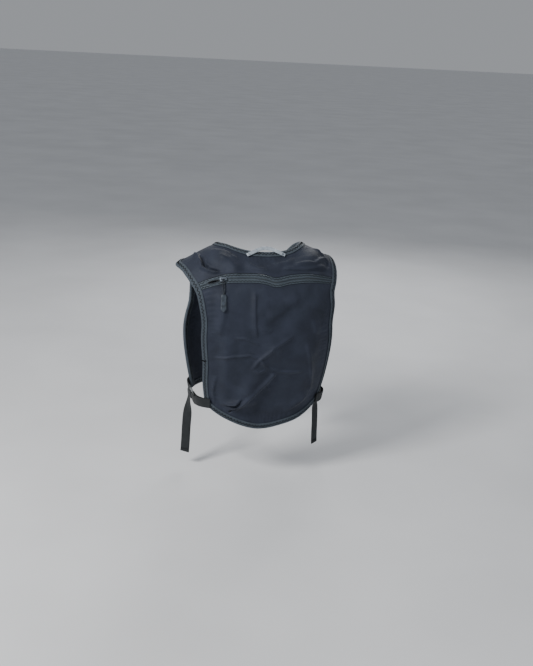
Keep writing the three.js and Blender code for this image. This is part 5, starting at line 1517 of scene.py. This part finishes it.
def make_pull():
    """A doubled cord from the slider's bridge, knotted into a moulded tab with a grip."""
    top = SLIDER_WIDTH / 2 + 2 * PIECE_GAP + PULL_LOOP_LENGTH
    left = []
    right = []
    for share in np.linspace(0, 1, 24):
        spread = 1.5 * math.sin(math.pi * min(1, share * 1.15)) + 0.55
        point = pull_point(mix(1.0, top + 2.5, share), 0.6 * (1 - share))
        left.append(point - np.array([spread, 0, 0]))
        right.append(point + np.array([spread, 0, 0]))
    loop = left[::-1] + right
    finished(make_object("zip_pull_cord", *tube(loop, 0.8, 8)), CORD, ["zip_pull_loop"])
    upper = pull_point(top)
    lower = pull_point(top + PULL_TAB_LENGTH - 2)
    down = unit(lower - upper)
    along = np.array([1.0, 0, 0])
    normal = unit(np.cross(along, -down))
    half = PULL_TAB_WIDTH / 2
    share = np.linspace(0, 1, 40)
    head = np.minimum(1, 0.7 + share * 2.2)
    foot = np.clip((1.04 - share) * 5, 0.12, 1)
    width = half * np.minimum(head, foot)
    sections = []
    for s, w in zip(share, width):
        gripped = 0.42 < s < 0.82
        grip = 0.35 * math.sin(s * 34) if gripped else 0
        waist = 1 - 0.10 * math.exp(-((s - 0.3) / 0.1) ** 2)
        thick = PULL_TAB_THICKNESS / 2 * math.sqrt(max(0.12, 1 - (2 * s - 1) ** 10)) + grip * 0.5
        angles = np.linspace(0, 2 * math.pi, 20, endpoint=False)
        squash = np.sign(np.cos(angles)) * np.abs(np.cos(angles)) ** 0.6
        height = np.sign(np.sin(angles)) * np.abs(np.sin(angles)) ** 0.6
        middle = upper + down * (s * PULL_TAB_LENGTH)
        sections.append(middle + along * (squash * w * waist)[:, None] + normal * (height * thick)[:, None])
    finished(make_object("zip_pull_grip", *sweep(sections)), PULL_PLASTIC, ["zip_pull_tab"])


SIDES = [(-1, "left"), (1, "right")]

make_back()
make_yoke()
for side, word in SIDES:
    make_front(side, word)
    make_pocket(side, word)
    make_side(side, word)
make_bindings()
make_chest()
make_hang_loop()
make_zip()


# Camera, lights and floor

CAMERA_AZIMUTH = math.radians(-14)
CAMERA_ELEVATION = math.radians(18)
CAMERA_ROLL = math.radians(3)
CAMERA_DISTANCE = 1.75
CAMERA_TARGET = Vector((0, -0.048, -0.177))
CAMERA_SHIFT = (0.009, 0.024)
SENSOR_WIDTH = 36
FOCAL_PIXELS = 875
PHOTO_PIXELS = 666
CAMERA_LENS = SENSOR_WIDTH * FOCAL_PIXELS / PHOTO_PIXELS
LIGHT_TARGET = Vector((0, 0, -0.17))
FLOOR_REACH = 60.0
FLOOR_LEVEL = -0.46


def make_camera():
    """The camera at the photograph's angle, with its slight roll."""
    turn, rise = CAMERA_AZIMUTH, CAMERA_ELEVATION
    back = Vector((math.sin(turn) * math.cos(rise), -math.cos(turn) * math.cos(rise), math.sin(rise)))
    right = Vector((math.cos(turn), math.sin(turn), 0))
    up = back.cross(right)
    tilted_right = right * math.cos(CAMERA_ROLL) + up * math.sin(CAMERA_ROLL)
    tilted_up = up * math.cos(CAMERA_ROLL) - right * math.sin(CAMERA_ROLL)
    aim = CAMERA_TARGET + tilted_right * CAMERA_SHIFT[0] + tilted_up * CAMERA_SHIFT[1]
    place = aim + back * CAMERA_DISTANCE
    data = bpy.data.cameras.new("camera")
    data.lens = CAMERA_LENS
    camera = bpy.data.objects.new("camera", data)
    basis = Matrix((tilted_right, tilted_up, back)).transposed().to_4x4()
    camera.matrix_world = Matrix.Translation(place) @ basis
    bpy.context.scene.collection.objects.link(camera)
    bpy.context.scene.camera = camera


def make_light(name, place, size, power, color):
    """A soft square light that faces the vest."""
    data = bpy.data.lights.new(name, "AREA")
    data.size = size
    data.energy = power
    data.color = color
    light = bpy.data.objects.new(name, data)
    aim = LIGHT_TARGET - Vector(place)
    light.matrix_world = Matrix.Translation(place) @ aim.to_track_quat("-Z", "Y").to_matrix().to_4x4()
    bpy.context.scene.collection.objects.link(light)


def make_floor():
    """A plain pale floor a little below the tails."""
    corners = [(-1, -1), (1, -1), (1, 1), (-1, 1)]
    mesh = bpy.data.meshes.new("floor")
    points = [(x * FLOOR_REACH, y * FLOOR_REACH, FLOOR_LEVEL) for x, y in corners]
    mesh.from_pydata(points, [], [(0, 1, 2, 3)])
    floor = bpy.data.objects.new("floor", mesh)
    bpy.context.scene.collection.objects.link(floor)
    shader = Shader("floor_paint", 0.8)
    shader.color(shader.ramp(shader.noise(3), [(0.3, rgb(214, 215, 217)), (0.7, rgb(224, 225, 227))]))
    mesh.materials.append(shader.material)


def make_world():
    """Soft even light from all round."""
    world = bpy.data.worlds.new("studio")
    world.use_nodes = True
    background = world.node_tree.nodes["Background"]
    background.inputs["Color"].default_value = rgb(226, 230, 236)
    background.inputs["Strength"].default_value = 0.42
    bpy.context.scene.world = world


make_camera()
make_world()
make_floor()
make_light("key", (-1.25, -0.75, 1.0), 0.45, 32, (1.0, 0.99, 0.97))
make_light("fill", (1.5, -1.5, 0.5), 1.2, 7, (0.92, 0.96, 1.0))
make_light("front", (0.7, 1.6, 0.9), 1.0, 16, (1.0, 1.0, 1.0))
